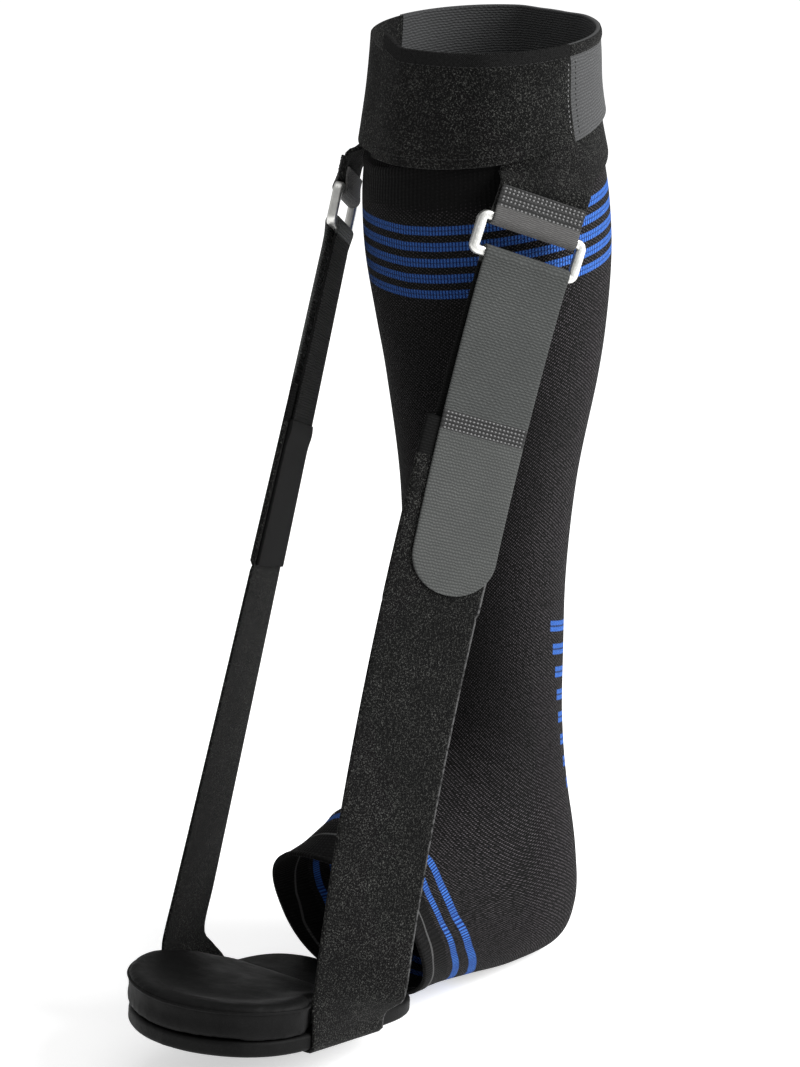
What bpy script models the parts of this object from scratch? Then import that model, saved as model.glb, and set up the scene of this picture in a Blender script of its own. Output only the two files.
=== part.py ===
"""Night splint: a knitted sleeve, a calf cuff and a stirrup strap that lifts the forefoot.

Metres. +Z runs up the leg, the toes point to -Y and +X is the outer side of the ankle.
The origin is the heel seat, under the axis of the leg at the level of the sole.
"""
import math
from collections import namedtuple

import bpy
from mathutils import Vector

OBJECT_NAME = "night_splint"

# Leg and foot that the sleeve is knitted to
LEG_HEIGHT = 0.468        # heel seat to the top of the cuff
CALF_WIDTH = 0.112        # side to side at the widest
CALF_DEPTH = 0.115        # front to back at the widest
ANKLE_HEIGHT = 0.150      # heel seat to the narrow of the ankle
FOOT_REACH = 0.1145       # axis of the leg to the toe hem, on top of the foot
FOOT_WIDTH = 0.080        # across the middle of the foot

# Cloth walls
CLEARANCE = 0.0003        # between pieces that lie on each other
SLEEVE_WALL = 0.0016
CUFF_WALL = 0.0026
ELASTIC_WALL = 0.0020
TAB_WALL = 0.0022
WEBBING_WALL = 0.0012
STRAP_WALL = 0.0025

# Cuff
CUFF_FRONT_HEIGHT = 0.053
CUFF_BACK_HEIGHT = 0.036
CUFF_TOP_RISE = 0.004     # how much higher the top edge is at the back than at the front
CUFF_FRONT_START = math.radians(-21)
CUFF_SEAM = math.radians(86)
CUFF_EAR_RISE = 0.0045    # the front panel's top corner stands up where it closes
CUFF_EAR_SPAN = math.radians(16)
CUFF_LAP_EASE = math.radians(12)
CLOSURE_TAB_START = math.radians(-92)
CLOSURE_TAB_END = math.radians(-6)
CLOSURE_DROP_START = math.radians(-55)
CLOSURE_TAB_DROP = 0.009  # how far the overlap's top corner slopes down under the front panel
TAB_RELIEF = 0.0004       # between the tab and the cuff over it
TAB_RELIEF_MARGIN = math.radians(6)
TAB_RELIEF_EASE = math.radians(16)
SLEEVE_TUCK = 0.006       # height of the sleeve hidden under the cuff
SLEEVE_DIP = 0.0135       # how far the hem drops below that in front
SLEEVE_DIP_AT = math.radians(-44)

# Rings
RING_DROP = 0.090         # top of the leg to the middle of the ring
RING_RADIUS = 0.0666      # axis of the leg to the middle of the ring
RING_BEARING = math.radians(57.5)
RING_WIRE = 0.0045
RING_OPENING_LENGTH = 0.0440
RING_OPENING_HEIGHT = 0.0120
RING_CORNER = 0.0025
RING_END_ROUNDNESS = 0.31 # share of the ring's half height taken by each round end

# Straps
WEBBING_WIDTH = 0.0424
TAB_WIDTH = 0.0430
TAB_WING = 0.050          # how much further round the leg the tab reaches at its back
TAB_DRAPE = 0.013         # height over which the tab comes to lie on the sleeve and widens
TAB_TUCK = 0.014          # height of the tab hidden under the cuff
TAB_END_GAP = 0.002       # between the ring's upper bar and the tab's lower end
TAB_REST = 0.0040         # height below the cuff's edge where the tab already lies on the sleeve
LOOP_OUTER_LENGTH = 0.0150
LOOP_INNER_LENGTH = 0.0100
LOOP_EASE = 0.006         # height over which the loop draws in above the ring's bar
LOOP_SHIFT = 0.0003       # the loop sits towards the back end of the ring
STRAP_WIDTH = 0.0485
STRAP_LEAN = math.radians(23)
STRAP_SPREAD = math.radians(3.5)
STRAP_TOP_DROP = 0.078    # ring's lower bar to the top end of the stirrup strap
SPLICE_LENGTH = 0.016
TONGUE_LENGTH = 0.156
TONGUE_TIP_LENGTH = 0.0185
TONGUE_SKEW = 0.0040      # how far the tip lies behind the tongue's upper end
TONGUE_EASE = 0.012       # length over which the tongue comes to lie on the strap
CLOSURE_SHIFT = 0.0015    # the closure strap sits towards the back end of the ring
STRAP_BEARING_LOW = math.radians(70)
STRAP_SWELL = 0.006       # how far the strap stands out beside the foot

# Pads under the forefoot
PAD_LENGTH = 0.136
PAD_WIDTH = 0.097
PAD_REAR = 0.0925         # axis of the leg to the rear edge
PAD_PITCH = math.radians(5.5)
PAD_REAR_HEIGHT = 0.0165  # heel seat to the underside at the rear edge
BASE_THICKNESS = 0.008
EDGE_ROUNDING = 0.002
WEDGE_HEIGHT = 0.0168
WEDGE_REAR_HEIGHT = 0.0045
WEDGE_OVERHANG = 0.0012   # how far the block stands out past the flat pad
WEDGE_LENGTH = 0.092
WEDGE_RIM = 0.022         # from the block's side to the floor of its dish
DISH_DEPTH = 0.0045
STRAP_REACH = 0.063       # rear edge of the pad to the middle of the strap

# Counts of facets
AROUND = 40
TAB_COLUMNS = 13
CUFF_COLUMN = math.radians(7)
STRAP_ROWS = 12
HEM_ROW = 5               # row of the leg's table down to which the sleeve follows its hem
SLOPE_STEP = 0.02         # step in level and in angle that a normal is measured over
SHARP_ANGLE = math.radians(40)

# Sections of the leg, from the top of the cuff down, as shares of the leg's height,
# the calf's depth and the calf's width. Front is towards the shin.
LegRow = namedtuple("LegRow", "height front back half_width")
LEG_ROWS = (
    LegRow(1.010, 0.405, 0.420, 0.415),
    LegRow(0.975, 0.418, 0.432, 0.424),
    LegRow(0.940, 0.435, 0.437, 0.434),
    LegRow(0.902, 0.457, 0.462, 0.457),
    LegRow(0.865, 0.478, 0.495, 0.482),
    LegRow(0.823, 0.480, 0.522, 0.500),
    LegRow(0.769, 0.461, 0.539, 0.500),
    LegRow(0.705, 0.409, 0.530, 0.473),
    LegRow(0.641, 0.361, 0.500, 0.433),
    LegRow(0.534, 0.313, 0.409, 0.362),
    LegRow(0.427, 0.309, 0.361, 0.330),
)

# Sections of the ankle and foot, turning from level to upright, as shares of the foot's
# reach, the ankle's height and the foot's width. Fullness squares the section.
FootRow = namedtuple("FootRow", "top_reach top_height sole_reach sole_height half_width fullness")
FOOT_ROWS = (
    FootRow(0.300, 1.000, -0.361, 1.000, 0.440, 2.0),
    FootRow(0.319, 0.875, -0.370, 0.747, 0.431, 2.1),
    FootRow(0.389, 0.808, -0.418, 0.533, 0.438, 2.2),
    FootRow(0.500, 0.772, -0.482, 0.300, 0.438, 2.3),
    FootRow(0.620, 0.732, -0.492, 0.125, 0.431, 2.4),
    FootRow(0.730, 0.692, -0.380, 0.018, 0.425, 2.5),
    FootRow(0.825, 0.655, -0.060, 0.010, 0.438, 2.5),
    FootRow(0.920, 0.612, 0.250, 0.045, 0.463, 2.5),
    FootRow(0.970, 0.590, 0.500, 0.075, 0.495, 2.5),
    FootRow(1.000, 0.575, 0.705, 0.088, 0.530, 2.5),
)

# Half of the pad's outline from the middle of its rear edge to its nose, as shares of
# the pad's length and width.
PadEdge = namedtuple("PadEdge", "reach half_width")
PAD_EDGES = (
    PadEdge(0.000, 0.000),
    PadEdge(0.003, 0.200),
    PadEdge(0.020, 0.330),
    PadEdge(0.070, 0.430),
    PadEdge(0.160, 0.485),
    PadEdge(0.300, 0.500),
    PadEdge(0.480, 0.500),
    PadEdge(0.650, 0.500),
    PadEdge(0.750, 0.478),
    PadEdge(0.830, 0.430),
    PadEdge(0.900, 0.350),
    PadEdge(0.955, 0.240),
    PadEdge(0.988, 0.125),
    PadEdge(1.000, 0.000),
)

# The same for the wedge, which is narrower where the strap passes beside it.
WEDGE_EDGES = (
    PadEdge(0.000, 0.000),
    PadEdge(0.004, 0.250),
    PadEdge(0.040, 0.390),
    PadEdge(0.120, 0.430),
    PadEdge(0.300, 0.435),
    PadEdge(0.430, 0.455),
    PadEdge(0.500, 0.492),
    PadEdge(0.580, 0.496),
    PadEdge(0.690, 0.460),
    PadEdge(0.790, 0.400),
    PadEdge(0.880, 0.310),
    PadEdge(0.945, 0.210),
    PadEdge(0.985, 0.105),
    PadEdge(1.000, 0.000),
)

# Layers of the two pads, from the underside up: how far each is drawn in, as a share of
# the rounding or of the rim, its height, as a share of the piece's height, and for the
# wedge the share of the dish's depth taken off.
PadLayer = namedtuple("PadLayer", "drawn_in rise dish")
BASE_LAYERS = (
    PadLayer(1.00, 0.00, 0.0),
    PadLayer(0.25, 0.12, 0.0),
    PadLayer(0.00, 0.50, 0.0),
    PadLayer(0.25, 0.88, 0.0),
    PadLayer(1.00, 1.00, 0.0),
)
WEDGE_LAYERS = (
    PadLayer(0.09, 0.00, 0.00),
    PadLayer(0.00, 0.12, 0.00),
    PadLayer(0.07, 0.50, 0.00),
    PadLayer(0.00, 0.82, 0.00),
    PadLayer(0.09, 0.97, 0.00),
    PadLayer(0.27, 1.00, 0.00),
    PadLayer(0.55, 1.00, 0.45),
    PadLayer(1.00, 1.00, 1.00),
)

# Where the strap closes in on the pads, as shares of its swell and of their height.
CornerRow = namedtuple("CornerRow", "swell rise")
CORNER_ROWS = (
    CornerRow(0.55, 0.72),
    CornerRow(0.15, 0.45),
    CornerRow(0.00, 0.23),
)

Section = namedtuple("Section", "front_y front_z back_y back_z half_width fullness")
Place = namedtuple("Place", "centre across outward up")


def clear_scene():
    """Remove every object, so that the script can be run again."""
    for item in list(bpy.data.objects):
        bpy.data.objects.remove(item, do_unlink=True)


def leg_sections():
    """The leg's and the foot's tables as one list of sections in metres."""
    sections = []
    for row in LEG_ROWS:
        height = row.height * LEG_HEIGHT
        sections.append(Section(-row.front * CALF_DEPTH, height, row.back * CALF_DEPTH, height,
                                row.half_width * CALF_WIDTH, 2.0))
    for row in FOOT_ROWS:
        sections.append(Section(-row.top_reach * FOOT_REACH, row.top_height * ANKLE_HEIGHT,
                                -row.sole_reach * FOOT_REACH, row.sole_height * ANKLE_HEIGHT,
                                row.half_width * FOOT_WIDTH, row.fullness))
    return sections


SECTIONS = leg_sections()


def smooth_between(before, start, end, after, share):
    """A value on the smooth curve through four neighbouring values."""
    slope_start = (end - before) / 2
    slope_end = (after - start) / 2
    square = share * share
    cube = square * share
    return ((2 * cube - 3 * square + 1) * start + (cube - 2 * square + share) * slope_start
            + (3 * square - 2 * cube) * end + (cube - square) * slope_end)


def smooth_row(rows, level):
    """A row between the rows of a table, on the smooth curve through them."""
    last = len(rows) - 1
    level = min(max(level, 0.0), float(last))
    index = min(int(level), last - 1)
    share = level - index
    four = [rows[min(max(index + step, 0), last)] for step in (-1, 0, 1, 2)]
    return [smooth_between(*values, share) for values in zip(*four)]


def smooth_step(value, start, end):
    """0 before the start, 1 after the end, and a soft ramp between."""
    share = min(max((value - start) / (end - start), 0.0), 1.0)
    return share * share * (3 - 2 * share)


def signed_power(value, power):
    return math.copysign(abs(value) ** power, value)


def limb_surface(level, angle):
    """A point on the limb: level is a row of the sections, angle 0 the shin, 90 degrees +X."""
    section = Section(*smooth_row(SECTIONS, level))
    centre = Vector((0, section.front_y + section.back_y, section.front_z + section.back_z)) / 2
    forward = Vector((0, section.front_y - section.back_y, section.front_z - section.back_z)) / 2
    power = 2 / section.fullness
    point = centre + forward * signed_power(math.cos(angle), power)
    point.x += section.half_width * signed_power(math.sin(angle), power)
    return point


def limb_point(level, angle, offset=0.0):
    """A point that stands off the limb by an offset along its outward normal."""
    point = limb_surface(level, angle)
    if offset == 0.0:
        return point
    around = limb_surface(level, angle + SLOPE_STEP) - limb_surface(level, angle - SLOPE_STEP)
    along = limb_surface(level + SLOPE_STEP, angle) - limb_surface(level - SLOPE_STEP, angle)
    return point + along.cross(around).normalized() * offset


def level_at(height):
    """The level of the leg's section at a height, by halving."""
    low, high = 0.0, float(len(LEG_ROWS))
    for _ in range(40):
        middle = (low + high) / 2
        if smooth_row(SECTIONS, middle)[1] > height:
            low = middle
        else:
            high = middle
    return (low + high) / 2


def cuff_top(angle):
    return LEG_HEIGHT - CUFF_TOP_RISE * (1 + math.cos(angle)) / 2


def cuff_bottom(angle):
    share = (1 + math.cos(angle)) / 2
    return cuff_top(angle) - CUFF_BACK_HEIGHT - (CUFF_FRONT_HEIGHT - CUFF_BACK_HEIGHT) * share


def sleeve_top(angle):
    """Height of the sleeve's hem, which drops below the cuff at the shin."""
    dip = max(0.0, math.cos(angle - SLEEVE_DIP_AT)) ** 2
    return cuff_bottom(angle) + SLEEVE_TUCK - SLEEVE_DIP * dip


def material(name, colour, roughness, metallic=0.0):
    made = bpy.data.materials.new(name)
    made.use_nodes = True
    shader = made.node_tree.nodes["Principled BSDF"]
    shader.inputs["Base Color"].default_value = (*colour, 1.0)
    shader.inputs["Roughness"].default_value = roughness
    shader.inputs["Metallic"].default_value = metallic
    return made


def add_object(name, points, faces, finish, collection):
    mesh = bpy.data.meshes.new(name)
    mesh.from_pydata([tuple(point) for point in points], [], faces)
    mesh.materials.append(finish)
    mesh.shade_smooth()
    mesh.set_sharp_from_angle(angle=SHARP_ANGLE)
    made = bpy.data.objects.new(name, mesh)
    collection.objects.link(made)
    return made


def add_sheet(name, rows, wall, finish, collection, closed=False):
    """A cloth wall: an open surface through rows of points, given its thickness outwards.

    The rows run along the piece and the points of a row across it, so that along x across
    is the outward side.
    """
    columns = len(rows[0])
    points = [point for row in rows for point in row]
    faces = []
    for row in range(len(rows) - 1):
        for column in range(columns if closed else columns - 1):
            following = (column + 1) % columns
            faces.append((row * columns + column, (row + 1) * columns + column,
                          (row + 1) * columns + following, row * columns + following))
    made = add_object(name, points, faces, finish, collection)
    thick = made.modifiers.new("wall", "SOLIDIFY")
    thick.thickness = wall
    thick.offset = 1.0
    thick.use_even_offset = True
    return made


def mirrored(rows, side):
    """The rows as they are for the outer side (1), or mirrored for the inner side (-1)."""
    if side > 0:
        return rows
    return [[Vector((-point.x, point.y, point.z)) for point in reversed(row)] for row in rows]


def build_sleeve(finish, collection):
    """The knitted tube: its hem follows the cuff, and the rows below are sections of the limb."""
    angles = [2 * math.pi * step / AROUND for step in range(AROUND)]
    rows = []
    for share in (0.0, 0.25, 0.5, 0.75):
        row = []
        for angle in angles:
            hem = level_at(sleeve_top(angle))
            row.append(limb_point(hem + (HEM_ROW - hem) * share, angle))
        rows.append(row)
    half_levels = range(2 * HEM_ROW, 2 * len(SECTIONS) - 1)
    for half_level in half_levels:
        rows.append([limb_point(half_level / 2, angle) for angle in angles])
    return add_sheet("compression_sleeve", rows, SLEEVE_WALL, finish, collection, closed=True)


def tab_bearing(height):
    """Bearing round the leg of the middle of the outer tab at a height."""
    middle = ring_place()
    above = middle.centre + middle.up * ((height - middle.centre.z) / middle.up.z)
    return math.atan2(above.x, -above.y)


def cuff_offset(angle):
    """Stand-off of the cuff's inner face, which passes over the tabs at both sides."""
    over = abs(math.remainder(angle, 2 * math.pi))
    middle = tab_bearing(cuff_bottom(over))
    half = TAB_WIDTH / CALF_WIDTH + TAB_RELIEF_MARGIN
    if over > middle:
        half += 2 * TAB_WING / CALF_WIDTH
    lift = 1 - smooth_step(abs(over - middle), half, half + TAB_RELIEF_EASE)
    return SLEEVE_WALL + CLEARANCE + (TAB_WALL + TAB_RELIEF) * lift


def closure_lift(angle):
    """Extra stand-off of the front panel where it lies over the closure tab."""
    lift = 1 - smooth_step(angle, CLOSURE_TAB_END, CLOSURE_TAB_END + CUFF_LAP_EASE)
    return (WEBBING_WALL + CLEARANCE) * lift


def ear_rise(angle):
    """Height that the front panel's top corner gains at its closing end."""
    return CUFF_EAR_RISE * (1 - smooth_step(angle, CUFF_FRONT_START, CUFF_FRONT_START + CUFF_EAR_SPAN))


def closure_drop(angle):
    """Height that the closure tab's top corner loses towards its end."""
    return -CLOSURE_TAB_DROP * smooth_step(angle, CLOSURE_DROP_START, CLOSURE_TAB_END)


def no_change(_angle):
    return 0.0


def cuff_rows(start, end, lift=no_change, rise=no_change):
    """Rows of a cuff panel from its top edge to its bottom edge."""
    count = max(3, round((end - start) / CUFF_COLUMN) + 1)
    angles = [start + (end - start) * step / (count - 1) for step in range(count)]
    rows = []
    for share in (0.0, 0.25, 0.5, 0.75, 1.0):
        row = []
        for angle in angles:
            top = cuff_top(angle) + rise(angle)
            height = top + (cuff_bottom(angle) - top) * share
            row.append(limb_point(level_at(height), angle, cuff_offset(angle) + lift(angle)))
        rows.append(row)
    return rows


def build_cuff(finishes, collection):
    """Plush front panel, elastic back panel and the closure tab that the front panel closes on."""
    join = CLEARANCE / CALF_WIDTH
    add_sheet("cuff_front_panel",
              cuff_rows(CUFF_FRONT_START, CUFF_SEAM - join, closure_lift, ear_rise),
              CUFF_WALL, finishes["plush"], collection)
    add_sheet("cuff_back_panel",
              cuff_rows(CUFF_SEAM + join, CLOSURE_TAB_START + 2 * math.pi - join),
              ELASTIC_WALL, finishes["elastic"], collection)
    add_sheet("cuff_closure_tab",
              cuff_rows(CLOSURE_TAB_START + join, CLOSURE_TAB_END, no_change, closure_drop),
              WEBBING_WALL, finishes["plush"], collection)


def ring_place():
    """Middle of the outer ring, with its directions across, outward and up the strap."""
    bearing = Vector((math.sin(RING_BEARING), -math.cos(RING_BEARING), 0))
    centre = bearing * RING_RADIUS
    centre.z = LEG_HEIGHT - RING_DROP
    up = Vector((math.tan(STRAP_SPREAD), math.tan(STRAP_LEAN), 1)).normalized()
    outward = (bearing - up * bearing.dot(up)).normalized()
    return Place(centre, up.cross(outward), outward, up)


def bar_distance():
    """Middle of the ring to the middle of its upper or lower bar."""
    return (RING_OPENING_HEIGHT + RING_WIRE) / 2


def build_ring(name, side, finish, collection):
    """A closed wire loop with small round corners."""
    place = ring_place()
    half_length = (RING_OPENING_LENGTH + RING_WIRE) / 2 + RING_CORNER / 2
    half_height = bar_distance()
    tall_corner = half_height * RING_END_ROUNDNESS
    corners = ((1, 1, 0), (-1, 1, 90), (-1, -1, 180), (1, -1, 270))
    path = []
    for across, up, first in corners:
        for step in range(5):
            turn = math.radians(first + 22.5 * step)
            path.append((across * (half_length - RING_CORNER) + RING_CORNER * math.cos(turn),
                         up * (half_height - tall_corner) + tall_corner * math.sin(turn)))
    curve = bpy.data.curves.new(name, "CURVE")
    curve.dimensions = "3D"
    curve.bevel_depth = RING_WIRE / 2
    curve.bevel_resolution = 2
    spline = curve.splines.new("POLY")
    spline.points.add(len(path) - 1)
    spline.use_cyclic_u = True
    for slot, (across, up) in zip(spline.points, path):
        point = place.centre + place.across * across + place.up * up
        slot.co = (side * point.x, point.y, point.z, 1)
    curve.materials.append(finish)
    made = bpy.data.objects.new(name, curve)
    collection.objects.link(made)


def loop_columns(width):
    """Distances across a strap, from its front edge to its back edge."""
    return (-width / 2, 0.0, width / 2)


def ring_loop_rows():
    """The webbing's inside face: down behind the ring's upper bar, under it and up outside."""
    place = ring_place()
    bar = bar_distance()
    tab_half = TAB_WALL / 2 + CLEARANCE
    turn_radius = RING_WIRE / 2 + CLEARANCE
    path = [(-tab_half, bar + LOOP_INNER_LENGTH), (-tab_half, bar + LOOP_EASE)]
    path += [(-turn_radius * math.cos(math.radians(30 * step)),
              bar - turn_radius * math.sin(math.radians(30 * step))) for step in range(7)]
    path += [(tab_half, bar + LOOP_EASE), (tab_half, bar + LOOP_OUTER_LENGTH)]
    columns = loop_columns(WEBBING_WIDTH)
    return [[place.centre + place.outward * out + place.up * up + place.across * (LOOP_SHIFT + across)
             for across in reversed(columns)] for out, up in path]


def tab_point(rise, flat_end, across):
    """A point of the tab's inside face: in the ring's plane up to flat_end, then on the sleeve."""
    place = ring_place()
    within = min(across, TAB_WIDTH / 2)
    flat = place.centre + place.up * rise + place.across * (LOOP_SHIFT + within)
    flat -= place.outward * (TAB_WALL / 2)
    level = level_at(flat.z)
    offset = SLEEVE_WALL + CLEARANCE
    angle = math.atan2(flat.x, -flat.y)
    wrapped = limb_point(level, angle, offset)
    stand_off = flat - wrapped
    if across > within:
        wrapped = limb_point(level, angle + 2 * (across - within) / CALF_WIDTH, offset)
    leaves_plane = flat.z - (rise - flat_end) * place.up.z
    rests = min(cuff_bottom(angle) - TAB_REST, leaves_plane + TAB_DRAPE)
    rests = max(rests, leaves_plane + TAB_RELIEF)
    return wrapped + stand_off * (1 - smooth_step(flat.z, leaves_plane, rests))


def tab_rows():
    """The tab's inside face: flat at the webbing, then wrapped on the sleeve under the cuff."""
    place = ring_place()
    start = bar_distance() + RING_WIRE / 2 + TAB_END_GAP
    flat_end = bar_distance() + LOOP_OUTER_LENGTH + TAB_END_GAP / 2
    middle = tab_bearing(cuff_bottom(RING_BEARING))
    top = (cuff_bottom(middle) + TAB_TUCK - place.centre.z) / place.up.z
    cuff_edge = (cuff_bottom(middle) - place.centre.z) / place.up.z
    rises = [start, flat_end]
    rises += [flat_end + (cuff_edge - flat_end) * share for share in (0.2, 0.4, 0.6, 0.8)]
    rises += [cuff_edge + (top - cuff_edge) * share for share in (0.25, 0.6, 1.0)]
    rows = []
    for rise in reversed(rises):
        wing = TAB_WING * smooth_step(rise, flat_end, flat_end + TAB_DRAPE)
        rows.append([tab_point(rise, flat_end, (TAB_WIDTH + wing) * step / TAB_COLUMNS - TAB_WIDTH / 2)
                     for step in range(TAB_COLUMNS + 1)])
    return rows


def pad_place(reach, side_distance, height):
    """A point over the pad's underside: reach from its rear edge, distance to +X, height."""
    forward = Vector((0, -math.cos(PAD_PITCH), math.sin(PAD_PITCH)))
    upward = Vector((0, math.sin(PAD_PITCH), math.cos(PAD_PITCH)))
    rear = Vector((0, -PAD_REAR, PAD_REAR_HEIGHT))
    return rear + forward * reach + upward * height + Vector((side_distance, 0, 0))


def strap_foot():
    """Middle of the stirrup strap's inside face, beside the foot just above the pads."""
    height = BASE_THICKNESS + WEDGE_HEIGHT
    return pad_place(STRAP_REACH, PAD_WIDTH / 2 + CLEARANCE + STRAP_SWELL, height)


def strap_place(drop):
    """The outer strap's inside face at a drop below the ring's lower bar."""
    ring = ring_place()
    top = ring.centre - ring.up * bar_distance() - ring.outward * (STRAP_WALL / 2)
    foot = strap_foot()
    run = (top - foot).length
    bend = top - ring.up * (run / 2)
    share = drop / run
    centre = top.lerp(bend, share).lerp(bend.lerp(foot, share), share)
    up = (top.lerp(bend, share) - bend.lerp(foot, share)).normalized()
    bearing = RING_BEARING + (STRAP_BEARING_LOW - RING_BEARING) * share
    outward = Vector((math.sin(bearing), -math.cos(bearing), 0))
    outward = (outward - up * outward.dot(up)).normalized()
    return Place(centre, up.cross(outward), outward, up)


def strap_run():
    """Length of the strap from the ring's lower bar to its foot."""
    ring = ring_place()
    top = ring.centre - ring.up * bar_distance()
    return (top - strap_foot()).length


def closure_rows():
    """The closure strap's inside face: up behind, over the lower bar and down as the tongue."""
    turn_radius = RING_WIRE / 2 + CLEARANCE
    middle = STRAP_WALL / 2
    behind = -CLEARANCE
    outside = STRAP_WALL + CLEARANCE
    half = WEBBING_WIDTH / 2
    path = [(STRAP_TOP_DROP + SPLICE_LENGTH, behind, half)]
    path += [(STRAP_TOP_DROP * share, behind, half) for share in (1.0, 0.75, 0.5, 0.25)]
    path += [(-turn_radius * math.sin(math.radians(30 * step)),
              middle - turn_radius * math.cos(math.radians(30 * step)), half) for step in range(7)]
    path += [(TONGUE_EASE, outside, half)]
    straight = TONGUE_LENGTH - TONGUE_TIP_LENGTH
    path += [(straight * share, outside, half) for share in (0.25, 0.5, 0.75, 1.0)]
    for degrees in (22.5, 45, 62, 76, 85):
        turn = math.radians(degrees)
        path.append((straight + TONGUE_TIP_LENGTH * math.sin(turn), outside, half * math.cos(turn)))
    rows = []
    for drop, out, half_width in path:
        place = strap_place(drop)
        skew = TONGUE_SKEW * max(drop, 0.0) / TONGUE_LENGTH if out > middle else 0.0
        aside = CLOSURE_SHIFT + skew
        rows.append([place.centre + place.outward * out + place.across * (across + aside)
                     for across in (-half_width, 0.0, half_width)])
    return rows


def stirrup_rows():
    """Inside face of half of the stirrup strap, from its top end to the middle of the sole."""
    run = strap_run()
    half = STRAP_WIDTH / 2
    columns = (-half, -half / 2, 0.0, half / 2, half)
    rows = []
    drops = [STRAP_TOP_DROP + (run - STRAP_TOP_DROP) * step / STRAP_ROWS
             for step in range(STRAP_ROWS + 1)]
    for drop in drops:
        place = strap_place(drop)
        rows.append([place.centre + place.across * across for across in columns])
    foot = strap_place(run)
    side = PAD_WIDTH / 2 + CLEARANCE
    turn = EDGE_ROUNDING
    start_height = BASE_THICKNESS + WEDGE_HEIGHT
    path = [(side + STRAP_SWELL * row.swell, start_height * row.rise) for row in CORNER_ROWS]
    path += [(side - turn + turn * math.cos(math.radians(30 * step)),
              turn - CLEARANCE - turn * math.sin(math.radians(30 * step))) for step in range(4)]
    path += [(side * 0.5, -CLEARANCE), (0.0, -CLEARANCE)]
    level_across = pad_place(-1, 0, 0) - pad_place(0, 0, 0)
    for out, height in path:
        square = smooth_step(start_height - height, 0.0, start_height * (1 - CORNER_ROWS[-1].rise))
        across = foot.across.lerp(level_across, square)
        centre = pad_place(STRAP_REACH, out, height)
        rows.append([centre + across * distance for distance in columns])
    return rows


def build_stirrup(finish, collection):
    """The whole strap: the outer half and its mirror image, joined under the sole."""
    outer = stirrup_rows()
    inner = [[Vector((-point.x, point.y, point.z)) for point in row] for row in reversed(outer[:-1])]
    return add_sheet("stirrup_strap", outer + inner, STRAP_WALL, finish, collection)


def outline(edges, length, width, steps=2):
    """Reach and distance to +X of each point round a pad's outline, seen from above."""
    last = len(edges) - 1
    half = [smooth_row(edges, index / steps) for index in range(last * steps + 1)]
    right = [(reach * length, max(side, 0.0) * width) for reach, side in half]
    left = [(reach, -side) for reach, side in right[1:-1]]
    return right + left[::-1]


def inset(points, length, width, distance):
    """An outline drawn in towards its middle by a distance at both ends and both sides."""
    shorter = 1 - 2 * distance / length
    narrower = 1 - 2 * distance / width
    return [(length / 2 + (reach - length / 2) * shorter, side * narrower) for reach, side in points]


def add_stack(name, rings, finish, collection):
    """A closed pad: rings of points from its underside to its top, with a fan at each end."""
    count = len(rings[0])
    points = [point for ring in rings for point in ring]
    faces = []
    for level in range(len(rings) - 1):
        for index in range(count):
            following = (index + 1) % count
            faces.append((level * count + index, (level + 1) * count + index,
                          (level + 1) * count + following, level * count + following))
    for ring, flip in ((0, False), (len(rings) - 1, True)):
        middle = sum(rings[ring], Vector()) / count
        points.append(middle)
        for index in range(count):
            following = (index + 1) % count
            face = (len(points) - 1, ring * count + index, ring * count + following)
            faces.append(face[::-1] if flip else face)
    return add_object(name, points, faces, finish, collection)


def build_base(finish, collection):
    """The flat pad, with its edges rounded above and below."""
    full = outline(PAD_EDGES, PAD_LENGTH, PAD_WIDTH)
    rings = [[pad_place(reach, side, BASE_THICKNESS * layer.rise)
              for reach, side in inset(full, PAD_LENGTH, PAD_WIDTH, EDGE_ROUNDING * layer.drawn_in)]
             for layer in BASE_LAYERS]
    return add_stack("base_pad", rings, finish, collection)


def build_wedge(finish, collection):
    """The toe block: high and round at the nose, thin at the rear, with a shallow dish on top."""
    width = PAD_WIDTH + 2 * WEDGE_OVERHANG
    full = outline(WEDGE_EDGES, WEDGE_LENGTH, width)
    start = PAD_LENGTH + WEDGE_OVERHANG - WEDGE_LENGTH
    floor = BASE_THICKNESS + CLEARANCE
    rings = []
    for layer in WEDGE_LAYERS:
        ring = []
        for reach, side in inset(full, WEDGE_LENGTH, width, WEDGE_RIM * layer.drawn_in):
            share = smooth_step(reach / WEDGE_LENGTH, -0.15, 0.55)
            top = WEDGE_REAR_HEIGHT + (WEDGE_HEIGHT - WEDGE_REAR_HEIGHT) * share
            height = floor + top * layer.rise - DISH_DEPTH * layer.dish * share
            ring.append(pad_place(start + reach, side, height))
        rings.append(ring)
    return add_stack("toe_wedge", rings, finish, collection)


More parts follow.
